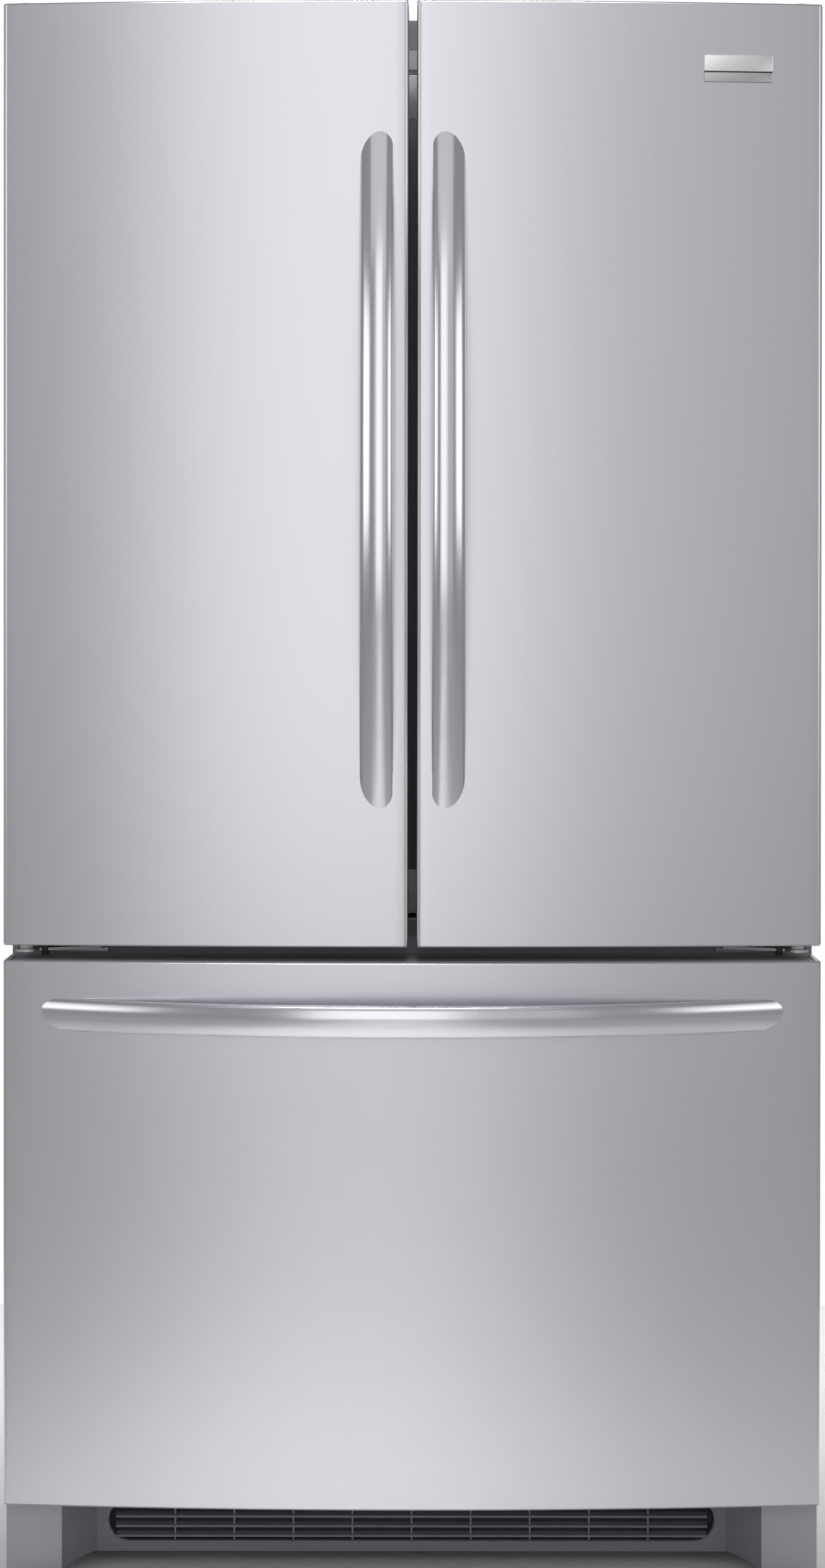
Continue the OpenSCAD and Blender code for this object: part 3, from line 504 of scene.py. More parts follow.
# Hinges: pressed steel brackets with a pin each. The centre ones stand in the gap between door and drawer,
# with a white nylon bush and a black stop, and the top ones are screwed down under grey moulded covers.
def lathe(profile, place, axis="z", count=24):
    """A profile of (distance along the axis, radius) turned about an axis through place."""
    k = "xyz".index(axis)
    i, j = [n for n in range(3) if n != k]
    turn = np.linspace(0, 2 * np.pi, count, endpoint=False)
    rings = np.zeros((len(profile), count, 3))
    for ring, (along, radius) in zip(rings, profile):
        ring[:, i] = place[i] + max(radius, 1e-5) * np.cos(turn)
        ring[:, j] = place[j] + max(radius, 1e-5) * np.sin(turn)
        ring[:, k] = place[k] + along
    return loft(rings)


def tongue(pin, radius, base, z0, z1):
    """A plate from z0 to z1 whose plan is a half circle about the pin, then straight edges to the corners in
    base."""
    turn = np.linspace(np.pi, 2 * np.pi, 13)
    nose = np.stack([pin[0] + radius * np.cos(turn), pin[1] + radius * np.sin(turn)], 1)
    return extruded(np.concatenate([nose, base]), "z", z0, z1)


PIN_X, PIN_Y, PIN_RADIUS = 0.432, -0.337, 0.0048
FACE_Y = -0.295
ARM_LOW, ARM_HIGH = 0.7010, 0.7040
PIN_FOOT = 0.7042
FLANGE_IN, FLANGE_OUT, PLATE_SIDE = 0.345, 0.444, 0.370
NOSE = 0.012
TOP_PLATE_LOW, TOP_PLATE_HIGH, TOP_PIN_FOOT = 1.7561, 1.7590, 1.7322
galvanised = surface("galvanised", (0.60, 0.61, 0.62), 0.42, 0.85, (45, 45, 45), tint=0.06, bump=0.03,
                     spread=0.05, detail=2)
nylon = surface("white_nylon", (0.82, 0.82, 0.80), 0.4, grain=(200, 200, 200), tint=0.02)
black_plastic = surface("black_plastic", (0.028, 0.028, 0.03), 0.45, grain=(300, 300, 300), tint=0.1)
arm_base = [(FLANGE_OUT, FACE_Y - 0.003), (FLANGE_IN, FACE_Y - 0.003), (0.352, -0.3095), (0.418, -0.333)]
arm = tongue((PIN_X, PIN_Y), NOSE, arm_base, ARM_LOW, ARM_HIGH)
flange = pillow((FLANGE_IN, FACE_Y - 0.003, 0.6955), (FLANGE_OUT, FACE_Y - 0.0002, 0.7100), 0.002, 0.0004, "y")
pin = lathe([(0, PIN_RADIUS), (0.033, PIN_RADIUS), (0.034, 0.004), (0.034, 0)], (PIN_X, PIN_Y, PIN_FOOT))
plate_base = [(FLANGE_OUT, FACE_Y + 0.09), (PLATE_SIDE, FACE_Y + 0.09), (PLATE_SIDE, FACE_Y + 0.005),
              (0.4199, FACE_Y - 0.004)]
plate = tongue((PIN_X, PIN_Y), NOSE, plate_base, TOP_PLATE_LOW, TOP_PLATE_HIGH)
shim = brick((PLATE_SIDE + 0.001, FACE_Y + 0.006, 1.7521), (FLANGE_OUT - 0.001, FACE_Y + 0.089, TOP_PLATE_LOW))
top_pin = lathe([(0, 0.004), (0.001, PIN_RADIUS), (0.0265, PIN_RADIUS), (0.0265, 0)],
                (PIN_X, PIN_Y, TOP_PIN_FOOT))
hinge = joined(arm, flange, pin, plate, shim, top_pin)
piece("hinge_brackets", joined(hinge, mirrored(hinge)), galvanised, "cabinet", "hinge_plates")
BUSH = [(0, 0.0068), (0.0004, 0.0072), (0.0062, 0.0072), (0.0066, 0.0068), (0.0066, 0.0049), (0, 0.0049)]
bush = lathe(BUSH, (PIN_X, PIN_Y, PIN_FOOT))
piece("hinge_bushes", joined(bush, mirrored(bush)), nylon, "cabinet", "hinge_plates")
stop = pillow((0.409, -0.333, 0.6962), (0.416, -0.318, 0.7095), 0.001, 0.0006)
piece("hinge_stops", joined(stop, mirrored(stop)), black_plastic, "cabinet", "hinge_plates")


def cup(a0, a1, b0, b1, shut, mouth, wall, radius, axis="z", lean=0.0, rim=0.0, edge=0.002, steps=5):
    """A rounded box open on one side, drawn from the outer face of its shut side to the mouth and back inside.
    lean narrows the shut side and rim is how far a lip stands out round the mouth."""
    s = np.sign(mouth - shut)
    path = [(lean + edge, shut), (lean + edge * 0.3, shut + s * edge * 0.3), (lean, shut + s * edge)]
    if rim:
        path += [(0, mouth - s * 0.006), (-rim, mouth - s * 0.006)]
    ease = 0.0005
    path += [(-rim, mouth - s * ease), (ease - rim, mouth), (wall - ease, mouth), (wall, mouth - s * ease),
             (wall + lean, shut + s * (wall + edge)),
             (wall + lean + edge * 0.3, shut + s * (wall + edge * 0.3)), (wall + lean + edge, shut + s * wall)]
    rows = [(a0 + i, a1 - i, b0 + i, b1 - i, max(radius - i, 0.0006), d) for i, d in path]
    return stacked(rows, axis, steps=steps)


HOOD_IN, HOOD_OUT, HOOD_TOP, HOOD_FOOT = 0.362, 0.450, 1.765, 1.7522
cover = cup(HOOD_IN, HOOD_OUT, FACE_Y + 0.012, FACE_Y + 0.130, HOOD_TOP, HOOD_FOOT, 0.0025, 0.012, lean=0.003,
            edge=0.003)
covers = joined(cover, mirrored(cover))
piece("hinge_top_covers", covers, cap_plastic, "cabinet", "hinge_covers")

# Flap: the heated bar that closes the gap behind the two doors. It is a moulded grey box section, hung on the
# left door on three steel pins, and a grey guide in the ceiling folds it as that door opens.
flap_grey = surface("flap_grey", (0.12, 0.125, 0.135), 0.42, grain=(400, 400, 400), tint=0.04)
flap_pale_and_painted_highlight = surface("flap_pale_and_painted_highlight", (0.62, 0.62, 0.64), 0.4, grain=(400, 400, 400), tint=0.03)
low, high = (np.array(c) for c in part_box("flipper_bar"))
KNUCKLES = (0.860, 1.215, 1.570)
KNUCKLE_ROOM = 0.0135
HINGE_SIDE = -0.019
bar = [pillow((HINGE_SIDE - 0.0005, low[1] + 0.0002, low[2]), (high[0], high[1], high[2]), 0.0025, 0.001)]
gaps = [z for knuckle in KNUCKLES for z in (knuckle - KNUCKLE_ROOM, knuckle + KNUCKLE_ROOM)]
stops = [low[2], *gaps, high[2]]
for start, end in zip(stops[::2], stops[1::2]):
    bar.append(pillow((low[0], low[1] + 0.0002, start), (HINGE_SIDE, high[1], end), 0.0025, 0.001))
piece("door_flap", joined(*bar), flap_grey, "flipper", "flipper_bar")
# The flap's end caps are pale grey: partly a real lighter moulding, partly painted highlight for the light that
# falls on the flap's top and bottom ends.
CAP_HEIGHT, CAP_PROUD = 0.050, 0.0003
caps = [pillow((low[0] + 0.018, low[1] - CAP_PROUD, z),
               (high[0] + CAP_PROUD, high[1] + CAP_PROUD, z + CAP_HEIGHT), 0.0028, 0.001)
        for z in (low[2] - 0.0005, high[2] + 0.0005 - CAP_HEIGHT)]
piece("door_flap_ends", joined(*caps), flap_pale_and_painted_highlight, "flipper", "flipper_bar")
low, high = (np.array(c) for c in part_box("flipper_guide"))
guide = cup(low[0], high[0], low[1], high[1], high[2], low[2], 0.012, 0.012, edge=0.001)
piece("flap_guide", guide, flap_pale_and_painted_highlight, "cabinet", "flipper_guide")


# Door gaskets: soft grey vinyl, extruded as a magnetic head on a folded bellows and welded into a ring.
# Each is pushed into a groove round the back of its door.
def framed(a0, a1, b0, b1, radius, section, axis="z", steps=5):
    """A closed section of (inset, depth) points carried round a rounded rectangle."""
    rows = [(a0 + i, a1 - i, b0 + i, b1 - i, max(radius - i, 0.0006), d) for i, d in section]
    return stacked(rows, axis, True, steps)


vinyl = surface("gasket_vinyl", (0.40, 0.405, 0.415), 0.62, grain=(250, 250, 250), tint=0.03)
BELLOWS = [(0.0010, 0.0), (0.0, 0.0025), (0.0032, 0.0045), (0.0002, 0.0065), (0.0, 0.0110), (0.0014, 0.0133),
           (0.0126, 0.0133), (0.0140, 0.0110), (0.0138, 0.0065), (0.0108, 0.0045), (0.0140, 0.0025),
           (0.0130, 0.0)]
for side in ("left", "right", "drawer"):
    low, high = (np.array(c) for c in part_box(side + "_gasket"))
    ring = framed(low[0], high[0], low[2], high[2], 0.006, [(i, low[1] + d) for i, d in BELLOWS], "y")
    body = "drawer" if side == "drawer" else side + "_door"
    piece(side + "_door_gasket", ring, vinyl, body, side + "_gasket", sharp=50)

# Inner door panels: white sheet formed over a mould, with a raised dyke for the bins and a sunken field.
# The left one also has three knuckles with steel pins for the flap, and the drawer's has a low dyke only.
white_sheet = surface("white_sheet", (0.80, 0.81, 0.81), 0.32, grain=(150, 150, 150), tint=0.01, bump=0.03)
DOOR_BACK = -0.309


def inner_panel(plate, dyke, rise, radius):
    """One formed panel in rings: plate, outer foot, outer wall, crest, inner wall, inner foot, sunken field.
    Plate and dyke are (x0, x1, z0, z1), and rise is how far the dyke's crest stands out."""
    path = [(-0.004, 0.0), (0.0, 0.0025), (0.0022, rise - 0.006), (0.0042, rise - 0.0018), (0.0075, rise),
            (0.0205, rise), (0.0238, rise - 0.0018), (0.0258, rise - 0.006), (0.0280, 0.0025), (0.032, 0.0),
            (0.050, 0.0), (0.053, -0.0018)]
    x0, x1, z0, z1 = plate
    rows = [(x0, x1, z0, z1, 0.002, DOOR_BACK - 0.0038), (x0, x1, z0, z1, 0.002, DOOR_BACK - 0.0004),
            (x0 + 0.0004, x1 - 0.0004, z0 + 0.0004, z1 - 0.0004, 0.002, DOOR_BACK)]
    a, b, c, d = dyke
    rows += [(a + i, b - i, c + i, d - i, max(radius - i * 0.6, 0.004), DOOR_BACK + y) for i, y in path]
    return stacked(rows, "y")


PLATE_OUT, PLATE_IN, PLATE_LOW, PLATE_HIGH = 0.4535, 0.0050, 0.7185, 1.7465
DYKE_OUT, DYKE_LOW, DYKE_HIGH, DYKE_RISE, DYKE_RADIUS = 0.392, 0.745, 1.685, 0.059, 0.022
FLAP_AXIS = (-0.030, -0.284)
KNUCKLE = [(-0.0118, 0.0055), (-0.011, 0.006), (0.011, 0.006), (0.0118, 0.0055)]
left_parts = [inner_panel((-PLATE_OUT, -PLATE_IN, PLATE_LOW, PLATE_HIGH),
                          (-DYKE_OUT, -0.052, DYKE_LOW, DYKE_HIGH), DYKE_RISE, DYKE_RADIUS)]
for z in KNUCKLES:
    left_parts.append(pillow((-0.0535, -0.290, z - 0.0115), (-0.031, -0.278, z + 0.0115), 0.002, 0.001))
    left_parts.append(lathe(KNUCKLE, (*FLAP_AXIS, z)))
piece("left_inner_panel", joined(*left_parts), white_sheet, "left_door", "left_liner")
pins = [lathe([(-0.030, 0.0028), (0.030, 0.0028)], (*FLAP_AXIS, z), count=16) for z in KNUCKLES]
piece("flap_pins", joined(*pins), galvanised, "left_door", "left_liner")
right_panel = inner_panel((PLATE_IN, PLATE_OUT, PLATE_LOW, PLATE_HIGH), (0.045, DYKE_OUT, DYKE_LOW, DYKE_HIGH),
                          DYKE_RISE, DYKE_RADIUS)
piece("right_inner_panel", right_panel, white_sheet, "right_door", "right_liner")
drawer_panel = inner_panel((-PLATE_OUT, PLATE_OUT, 0.0965, 0.6865), (-0.355, 0.355, 0.140, 0.640), 0.018,
                           DYKE_RADIUS)
piece("drawer_inner_panel", drawer_panel, white_sheet, "drawer", "drawer_liner")

# Door bins: clear moulded plastic trays with a frosted band round the rim, hung between the dykes' side walls.
# The dairy box has a clear lid that tips up at the back.
clear_plastic = surface("clear_plastic", (0.90, 0.94, 0.955), 0.09, grain=(40, 40, 40), tint=0.01, bump=0.01,
                        spread=0.03, clear=0.85)
frosted = surface("frosted_band", (0.74, 0.76, 0.78), 0.35, grain=(300, 300, 300), tint=0.02, clear=0.15)
BIN_FRONT, BIN_BACK, BIN_HIGH = -0.308, -0.205, 0.105
LEFT_BIN_X, RIGHT_BIN_X = (-0.363, -0.081), (0.074, 0.363)
BAND = [(-0.0006, -0.016), (-0.0006, 0.0), (0.0036, 0.0), (0.0036, -0.0012), (0.0, -0.0012), (0.0, -0.016)]


def bins(name, body, node, x0, x1, floors, back, tall):
    """Trays with eased floors, one for each floor height, and the band round each rim."""
    trays, bands = [], []
    for z in floors:
        trays.append(cup(x0, x1, BIN_FRONT, back, z, z + tall - 0.001, 0.0026, 0.016, lean=0.004, edge=0.006))
        bands.append(framed(x0, x1, BIN_FRONT, back, 0.016, [(i, z + tall + d) for i, d in BAND]))
    piece(name, joined(*trays), clear_plastic, body, node)
    piece(name + "_bands", joined(*bands), frosted, body, node)


bins("left_door_bins", "left_door", "left_bins", *LEFT_BIN_X, (0.790, 1.080, 1.370), BIN_BACK, BIN_HIGH)
bins("right_door_bins", "right_door", "right_bins", *RIGHT_BIN_X, (0.790, 1.140), BIN_BACK, BIN_HIGH)
bins("dairy_bin", "right_door", "dairy_box", *RIGHT_BIN_X, (1.430,), BIN_BACK - 0.008, 0.1195)
low, high = (np.array(c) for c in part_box("dairy_lid"))
LID_PULL_X = (0.170, 0.267)
lid_pull = pillow((LID_PULL_X[0], high[1] - 0.003, low[2] - 0.005),
                  (LID_PULL_X[1], high[1] - 0.0002, low[2] + 0.001), 0.0012, 0.0006)
lid = joined(pillow(low, high, 0.008, 0.0008), lid_pull)
piece("dairy_box_lid", lid, clear_plastic, "dairy_lid", "dairy_lid")


# Cabinet shell: one painted steel sheet folded over the top and down both sides, with returns at the front.
# A painted rail parts the two compartments, a painted sill closes the foot of the lower one, and a grey
# breaker strip with a pale bead is pushed in where the steel meets the upper liner.
def arch_outline(half, top, foot, inner_half, inner_top, radius):
    """A U turned upside down: outer edge with rounded shoulders, then the inner edge back."""
    turn = np.linspace(0, np.pi / 2, 6)
    right = np.stack([half - radius + radius * np.cos(turn), top - radius + radius * np.sin(turn)], 1)
    left = right[::-1] * [-1, 1]
    inner = [[-inner_half, foot], [-inner_half, inner_top], [inner_half, inner_top], [inner_half, foot]]
    return np.concatenate([[[half, foot]], right, left, [[-half, foot]], inner])


cabinet_paint = surface("cabinet_paint", (0.30, 0.305, 0.32), 0.42, grain=(900, 900, 900), tint=0.02, bump=0.12)
SHELL_TOP, SHELL_FOOT, SHELL_BACK = 1.752, 0.025, 0.4437
PANEL_STEEL, RETURN_INSET, FOLD_RADIUS = 0.0012, 0.0004, 0.004
OPENING_X, OPENING_TOP = 0.406, 1.698
shell_outline = arch_outline(HALF_WIDTH, SHELL_TOP, SHELL_FOOT, HALF_WIDTH - PANEL_STEEL,
                             SHELL_TOP - PANEL_STEEL, FOLD_RADIUS)
return_outline = arch_outline(HALF_WIDTH - RETURN_INSET, SHELL_TOP - RETURN_INSET, SHELL_FOOT, OPENING_X,
                              OPENING_TOP, FOLD_RADIUS)
shell = extruded(shell_outline, "y", FACE_Y + 0.0002, SHELL_BACK)
returns = extruded(return_outline, "y", FACE_Y, FACE_Y + PANEL_STEEL)
piece("cabinet_shell", joined(shell, returns), cabinet_paint, "cabinet", "cabinet_wrapper")
low, high = (np.array(c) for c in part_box("mid_rail"))
rail = pillow(low, high, 0.002, 0.001, "y")
piece("middle_rail", rail, cabinet_paint, "cabinet", "mid_rail")
SILL_X, SILL_LOW, SILL_HIGH = 0.4058, 0.049, 0.1105
sill = pillow((-SILL_X, FACE_Y + 0.0004, SILL_LOW), (SILL_X, FACE_Y + 0.0016, SILL_HIGH), 0.001, 0.0003, "y")
piece("freezer_sill", sill, cabinet_paint, "cabinet")
STRIP_X, STRIP_TOP, STRIP_FOOT = 0.430, 1.7160, 0.733
strip_outline = arch_outline(STRIP_X, STRIP_TOP, STRIP_FOOT, 0.4045, 1.6965, 0.012)
bead_outline = arch_outline(STRIP_X + 0.0015, STRIP_TOP + 0.0016, STRIP_FOOT, STRIP_X, STRIP_TOP, 0.013)
strip = extruded(strip_outline, "y", FACE_Y - 0.0003, FACE_Y + 0.003)
bead = extruded(bead_outline, "y", FACE_Y - 0.0004, FACE_Y + 0.001)
breaker_grey = surface("breaker_grey", (0.74, 0.74, 0.76), 0.45, grain=(300, 300, 300))
piece("breaker_strip", strip, breaker_grey, "cabinet", "cabinet_wrapper")
piece("breaker_bead", bead, nylon, "cabinet", "cabinet_wrapper")

# Back: a galvanised panel with a sunken field, screwed on round its edge, over a slotted cover for the machine
# compartment, with the water valve's threaded inlet and the gland where the cord comes out.
low, high = (np.array(c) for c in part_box("rear_panel"))
BORDER = [(0.0, low[1]), (0.0, high[1] - 0.0003), (0.0004, high[1]), (0.042, high[1]), (0.046, high[1] - 0.0008)]
back_sheet = stacked([(low[0] + i, high[0] - i, low[2] + i, high[2] - i, 0.003, d) for i, d in BORDER], "y")
SCREW = [(0.0, 0.0045), (0.0006, 0.0043), (0.0013, 0.0030), (0.0016, 0.0012), (0.0010, 0.0010)]
screw_places = [(x, z) for x in (-0.435, 0.435) for z in (0.36, 0.70, 1.05, 1.40, 1.70)]
screw_places += [(x, z) for x in (-0.22, 0.0, 0.22) for z in (0.32, 1.735)]
screws = [lathe(SCREW, (x, high[1], z), "y", 10) for x, z in screw_places]
piece("back_panel", joined(back_sheet, *screws), galvanised, "cabinet", "rear_panel")


def dress(mat, *nodes):
    """Gives CAD nodes that are shown as they are a procedural finish."""
    for node in nodes:
        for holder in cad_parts[node].material_slots:
            holder.material = mat


black_paint = surface("black_paint", (0.022, 0.022, 0.024), 0.38, grain=(120, 120, 120), tint=0.1)
black_board = surface("black_board", (0.035, 0.035, 0.037), 0.6, grain=(400, 400, 400), tint=0.1)
dress(black_board, "machine_cover")
dress(black_plastic, "cord_gland", "fan_motors")
low, high = (np.array(c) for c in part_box("water_valve"))
SPOUT, CREST, ROOT, BORE = 0.0190, 0.0132, 0.0119, 0.0082
THREAD = [(0.0, 0.0128)] + [(0.0018 + 0.0011 * n, CREST if n % 2 else ROOT) for n in range(14)]
THREAD += [(0.0181, 0.0128), (SPOUT, 0.0120), (SPOUT, BORE), (0.0040, BORE), (0.0040, 0.0)]
valve = joined(pillow(low, (high[0], high[1] - 0.021, high[2]), 0.004, 0.0015),
               lathe(THREAD, ((low[0] + high[0]) / 2, high[1] - SPOUT, (low[2] + high[2]) / 2), "y"))
piece("water_inlet_valve", valve, nylon, "cabinet", "water_valve")

# Feet and rollers: two black feet on threaded studs under the front corners, and two hard nylon rollers on
# axles at the back, all carried by a galvanised base pan.
dress(galvanised, "base_pan")
FOOT_X, FOOT_Y = 0.400, -0.255
FOOT = [(0.0, 0.0), (0.0, 0.0168), (0.0012, 0.018), (0.0060, 0.018), (0.0078, 0.0160), (0.0086, 0.0095),
        (0.0090, 0.0058)]
STUD = [(0.0090 + 0.0010 * n, 0.0060 if n % 2 else 0.0052) for n in range(1, 36)]
STUD += [(0.0450, 0.0045), (0.0450, 0.0)]
foot = lathe(FOOT + STUD, (FOOT_X, FOOT_Y, 0.0))
piece("feet", joined(foot, mirrored(foot)), black_plastic, "cabinet", "levelling_feet")
WHEEL = [(-0.012, 0.0046), (-0.013, 0.009), (-0.013, 0.0195), (-0.0112, 0.0218), (-0.009, 0.022), (0.009, 0.022),
         (0.0112, 0.0218), (0.013, 0.0195), (0.013, 0.009), (0.012, 0.0046)]
wheel_low, wheel_high = (np.array(c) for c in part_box("rear_rollers"))
wheel_y, wheel_z = (wheel_low[1] + wheel_high[1]) / 2, (wheel_low[2] + wheel_high[2]) / 2
wheel = lathe(WHEEL, (FOOT_X, wheel_y, wheel_z), "x", 32)
roller_nylon = surface("roller_nylon", (0.10, 0.10, 0.105), 0.5, grain=(120, 120, 120))
piece("rollers_rear", joined(wheel, mirrored(wheel)), roller_nylon, "rollers", "rear_rollers")

# Upper compartment: a white liner formed in one sheet with rounded corners, an air duct up its back wall with
# slotted vents, four slotted shelf tracks and a glowing lens in the ceiling.
low, high = (np.array(c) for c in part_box("fresh_liner"))
LINER = [(0.0, high[1]), (0.0, low[1]), (0.002, low[1]), (0.002, high[1] - 0.014), (0.0035, high[1] - 0.008),
         (0.0075, high[1] - 0.0038), (0.0135, high[1] - 0.002)]
liner_rows = [(low[0] + i, high[0] - i, low[2] + i, high[2] - i, 0.020 - i * 0.5, d) for i, d in LINER]
piece("upper_liner", stacked(liner_rows, "y", steps=8), white_sheet, "cabinet", "fresh_liner")
low, high = (np.array(c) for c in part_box("air_duct"))
VENT_WIDE, VENT_HIGH, VENT_RIM = 0.040, 0.008, 0.003
vents = [(x, z) for z in (1.120, 1.330, 1.550) for x in (-0.060, 0.020)]
collar = [(0, low[1] + 0.001), (0, low[1] - 0.0012), (VENT_RIM, low[1] - 0.0012), (VENT_RIM, low[1] + 0.001)]
duct = [pillow(low, high, 0.012, 0.004, "y")]
duct += [framed(x - VENT_RIM, x + VENT_WIDE + VENT_RIM, z - VENT_RIM, z + VENT_HIGH + VENT_RIM, 0.005, collar,
                "y") for x, z in vents]
piece("air_duct_cover", joined(*duct), white_sheet, "cabinet", "air_duct")
# The vent slots are not cut through: a black patch in each is painted shade for the dark inside of the duct.
slots = [pillow((x, low[1] - 0.0006, z), (x + VENT_WIDE, low[1] + 0.001, z + VENT_HIGH), 0.003, 0.0002, "y")
         for x, z in vents]
piece("air_duct_slot_shade", joined(*slots), black_groove_and_slot_shade, "cabinet", "air_duct")
TRACK_FRONT, TRACK_BACK, TRACK_LOW, TRACK_HIGH = 0.3838, 0.3879, 1.065, 1.660
TRACK_WIDE, TRACK_EDGE, SLOT_PITCH = 0.012, 0.003, 0.024
tracks = []
for x in (-0.388, -0.100, 0.088, 0.376):
    for edge_x in (x, x + TRACK_WIDE - TRACK_EDGE):
        tracks.append(brick((edge_x, TRACK_FRONT, TRACK_LOW), (edge_x + TRACK_EDGE, TRACK_BACK, TRACK_HIGH)))
    for z in np.arange(TRACK_LOW + 0.001, TRACK_HIGH - 0.010, SLOT_PITCH):
        tracks.append(brick((x + TRACK_EDGE, TRACK_FRONT, z),
                            (x + TRACK_WIDE - TRACK_EDGE, TRACK_BACK - 0.0011, z + SLOT_PITCH / 2)))
piece("shelf_track_rails", joined(*tracks), galvanised, "cabinet", "shelf_tracks")
lens_glow = surface("light_lens", (0.90, 0.92, 0.93), 0.3, grain=(300, 300, 300), tint=0.01, clear=0.3)
lens_shader = lens_glow.node_tree.nodes["Principled BSDF"]
lens_shader.inputs["Emission Color"].default_value = (1.0, 0.97, 0.92, 1)
lens_shader.inputs["Emission Strength"].default_value = 1.2
low, high = (np.array(c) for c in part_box("light_panel"))
piece("light_lens", pillow(low, high, 0.016, 0.004), lens_glow, "cabinet", "light_panel")

# Shelves: toughened glass in white moulded frames, in two halves on steel brackets that hook into the tracks.
# The lowest one covers the crispers, and a plain divider lies over the wide drawer.
shelf_glass = surface("shelf_glass", (0.86, 0.95, 0.92), 0.04, grain=(20, 20, 20), tint=0.01, bump=0.0,
                      spread=0.02, clear=0.9)
SHELF_FRONT, SHELF_BACK, SHELF_IN, SHELF_OUT = -0.190, 0.372, 0.004, 0.400
COVER_X, COVER_BACK, COVER_Z, DIVIDER_LOW, DIVIDER_HIGH = 0.403, 0.380, 1.042, 0.839, 0.847
PANE_INSET, PANE_LOW, PANE_TOP = 0.0138, -0.007, -0.0031
TRIM = [(0.0, -0.014), (0.0, -0.0012), (0.0012, 0.0), (0.0125, 0.0), (0.0136, -0.0006), (0.0136, -0.0026),
        (0.0142, -0.003), (0.0142, -0.0075), (0.012, -0.009), (0.012, -0.014)]
BRACKET = [(SHELF_FRONT + 0.04, -0.0142), (0.3835, -0.0142), (0.3835, -0.034), (0.340, -0.034),
           (SHELF_FRONT + 0.05, -0.020), (SHELF_FRONT + 0.04, -0.017)]
frames, panes, brackets = [], [], []
for z in (1.240, 1.460):
    for side in (-1, 1):
        x0, x1 = sorted((side * SHELF_IN, side * SHELF_OUT))
        frames.append(framed(x0, x1, SHELF_FRONT, SHELF_BACK, 0.008, [(i, z + d) for i, d in TRIM]))
        panes.append(pillow((x0 + PANE_INSET, SHELF_FRONT + PANE_INSET, z + PANE_LOW),
                            (x1 - PANE_INSET, SHELF_BACK - PANE_INSET, z + PANE_TOP), 0.006, 0.0005))
        for x in (side * 0.094, side * 0.382):
            brackets.append(extruded([(y, z + d) for y, d in BRACKET], "x", x - 0.0016, x + 0.0016))
cover_trim = [(i, COVER_Z + d * 0.86) for i, d in TRIM]
frames.append(framed(-COVER_X, COVER_X, SHELF_FRONT, COVER_BACK, 0.006, cover_trim))
panes.append(pillow((0.014 - COVER_X, SHELF_FRONT + PANE_INSET, COVER_Z + PANE_LOW),
                    (COVER_X - 0.014, COVER_BACK - 0.014, COVER_Z + PANE_TOP), 0.004, 0.0005))
frames.append(pillow((-COVER_X, SHELF_FRONT + 0.004, DIVIDER_LOW), (COVER_X, COVER_BACK, DIVIDER_HIGH), 0.004,
                     0.002))
piece("shelf_trims", joined(*frames), white_sheet, "cabinet", "shelf_frames")
piece("shelf_brackets", joined(*brackets), galvanised, "cabinet", "shelf_frames")
piece("shelf_panes", joined(*panes), shelf_glass, "cabinet", "shelf_glass")

# Crispers and wide drawer: clear moulded trays with leaning walls and a frosted pull along the front.
# They slide on ledges under the glass, and here they stay shut.
PULL_HIGH, PULL_DEEP, PULL_INSET = 0.024, 0.0042, 0.004
for name, node in (("crisper_tray_left", "crisper_left"), ("crisper_tray_right", "crisper_right"),
                   ("wide_tray", "deli_drawer")):
    low, high = (np.array(c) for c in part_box(node))
    tray = cup(low[0], high[0], low[1] + 0.003, high[1], low[2], high[2], 0.0026, 0.018, lean=0.006, edge=0.007)
    piece(name, tray, clear_plastic, "cabinet", node)
    pull = pillow((low[0] + PULL_INSET, low[1], high[2] - PULL_HIGH),
                  (high[0] - PULL_INSET, low[1] + PULL_DEEP, high[2] - 0.0005), 0.004, 0.0015, "y")
    piece(name + "_pull", pull, frosted, "cabinet", node)


# Freezer: a stepped white liner, a white plate over the evaporator with a round fan grille, and the ice bin.
# The fan behind the grille has six pitched blades.
def blades(place, axis, hub, radius, depth, count=6):
    """A turned hub and blades. Each blade is a strip whose pitch falls from 42 degrees at the hub to 24 at the
    tip, whose width swells and then rounds off towards the tip, and which never leaves the hub's depth."""
    k = "xyz".index(axis)
    i, j = [n for n in range(3) if n != k]
    hub_profile = [(-depth / 2, hub * 0.9), (-depth * 0.4, hub), (depth * 0.4, hub), (depth / 2, hub * 0.9)]
    parts = [lathe(hub_profile, place, axis)]
    span = np.linspace(hub - 0.002, radius, 7)
    for n in range(count):
        rings = np.zeros((7, 8, 3))
        for ring, r, t in zip(rings, span, np.linspace(0, 1, 7)):
            width = (0.36 + 0.22 * np.sin(t * np.pi * 0.8)) * radius * np.sqrt(max(1 - t**6, 0.2))
            pitch = np.radians(42 - 18 * t)
            across = np.array([-0.5, -0.17, 0.17, 0.5, 0.5, 0.17, -0.17, -0.5]) * width
            skin = np.array([1, 1, 1, 1, -1, -1, -1, -1]) * 0.0006
            side = across * np.cos(pitch) - skin * np.sin(pitch)
            lift = (across * np.sin(pitch) + skin * np.cos(pitch)) * min(1.0, depth / (width * np.sin(pitch)))
            turn = 2 * np.pi * n / count + side / r
            ring[:, i] = place[i] + r * np.cos(turn)
            ring[:, j] = place[j] + r * np.sin(turn)
            ring[:, k] = place[k] + lift * 0.92
        parts.append(loft(rings))
    return joined(*parts)


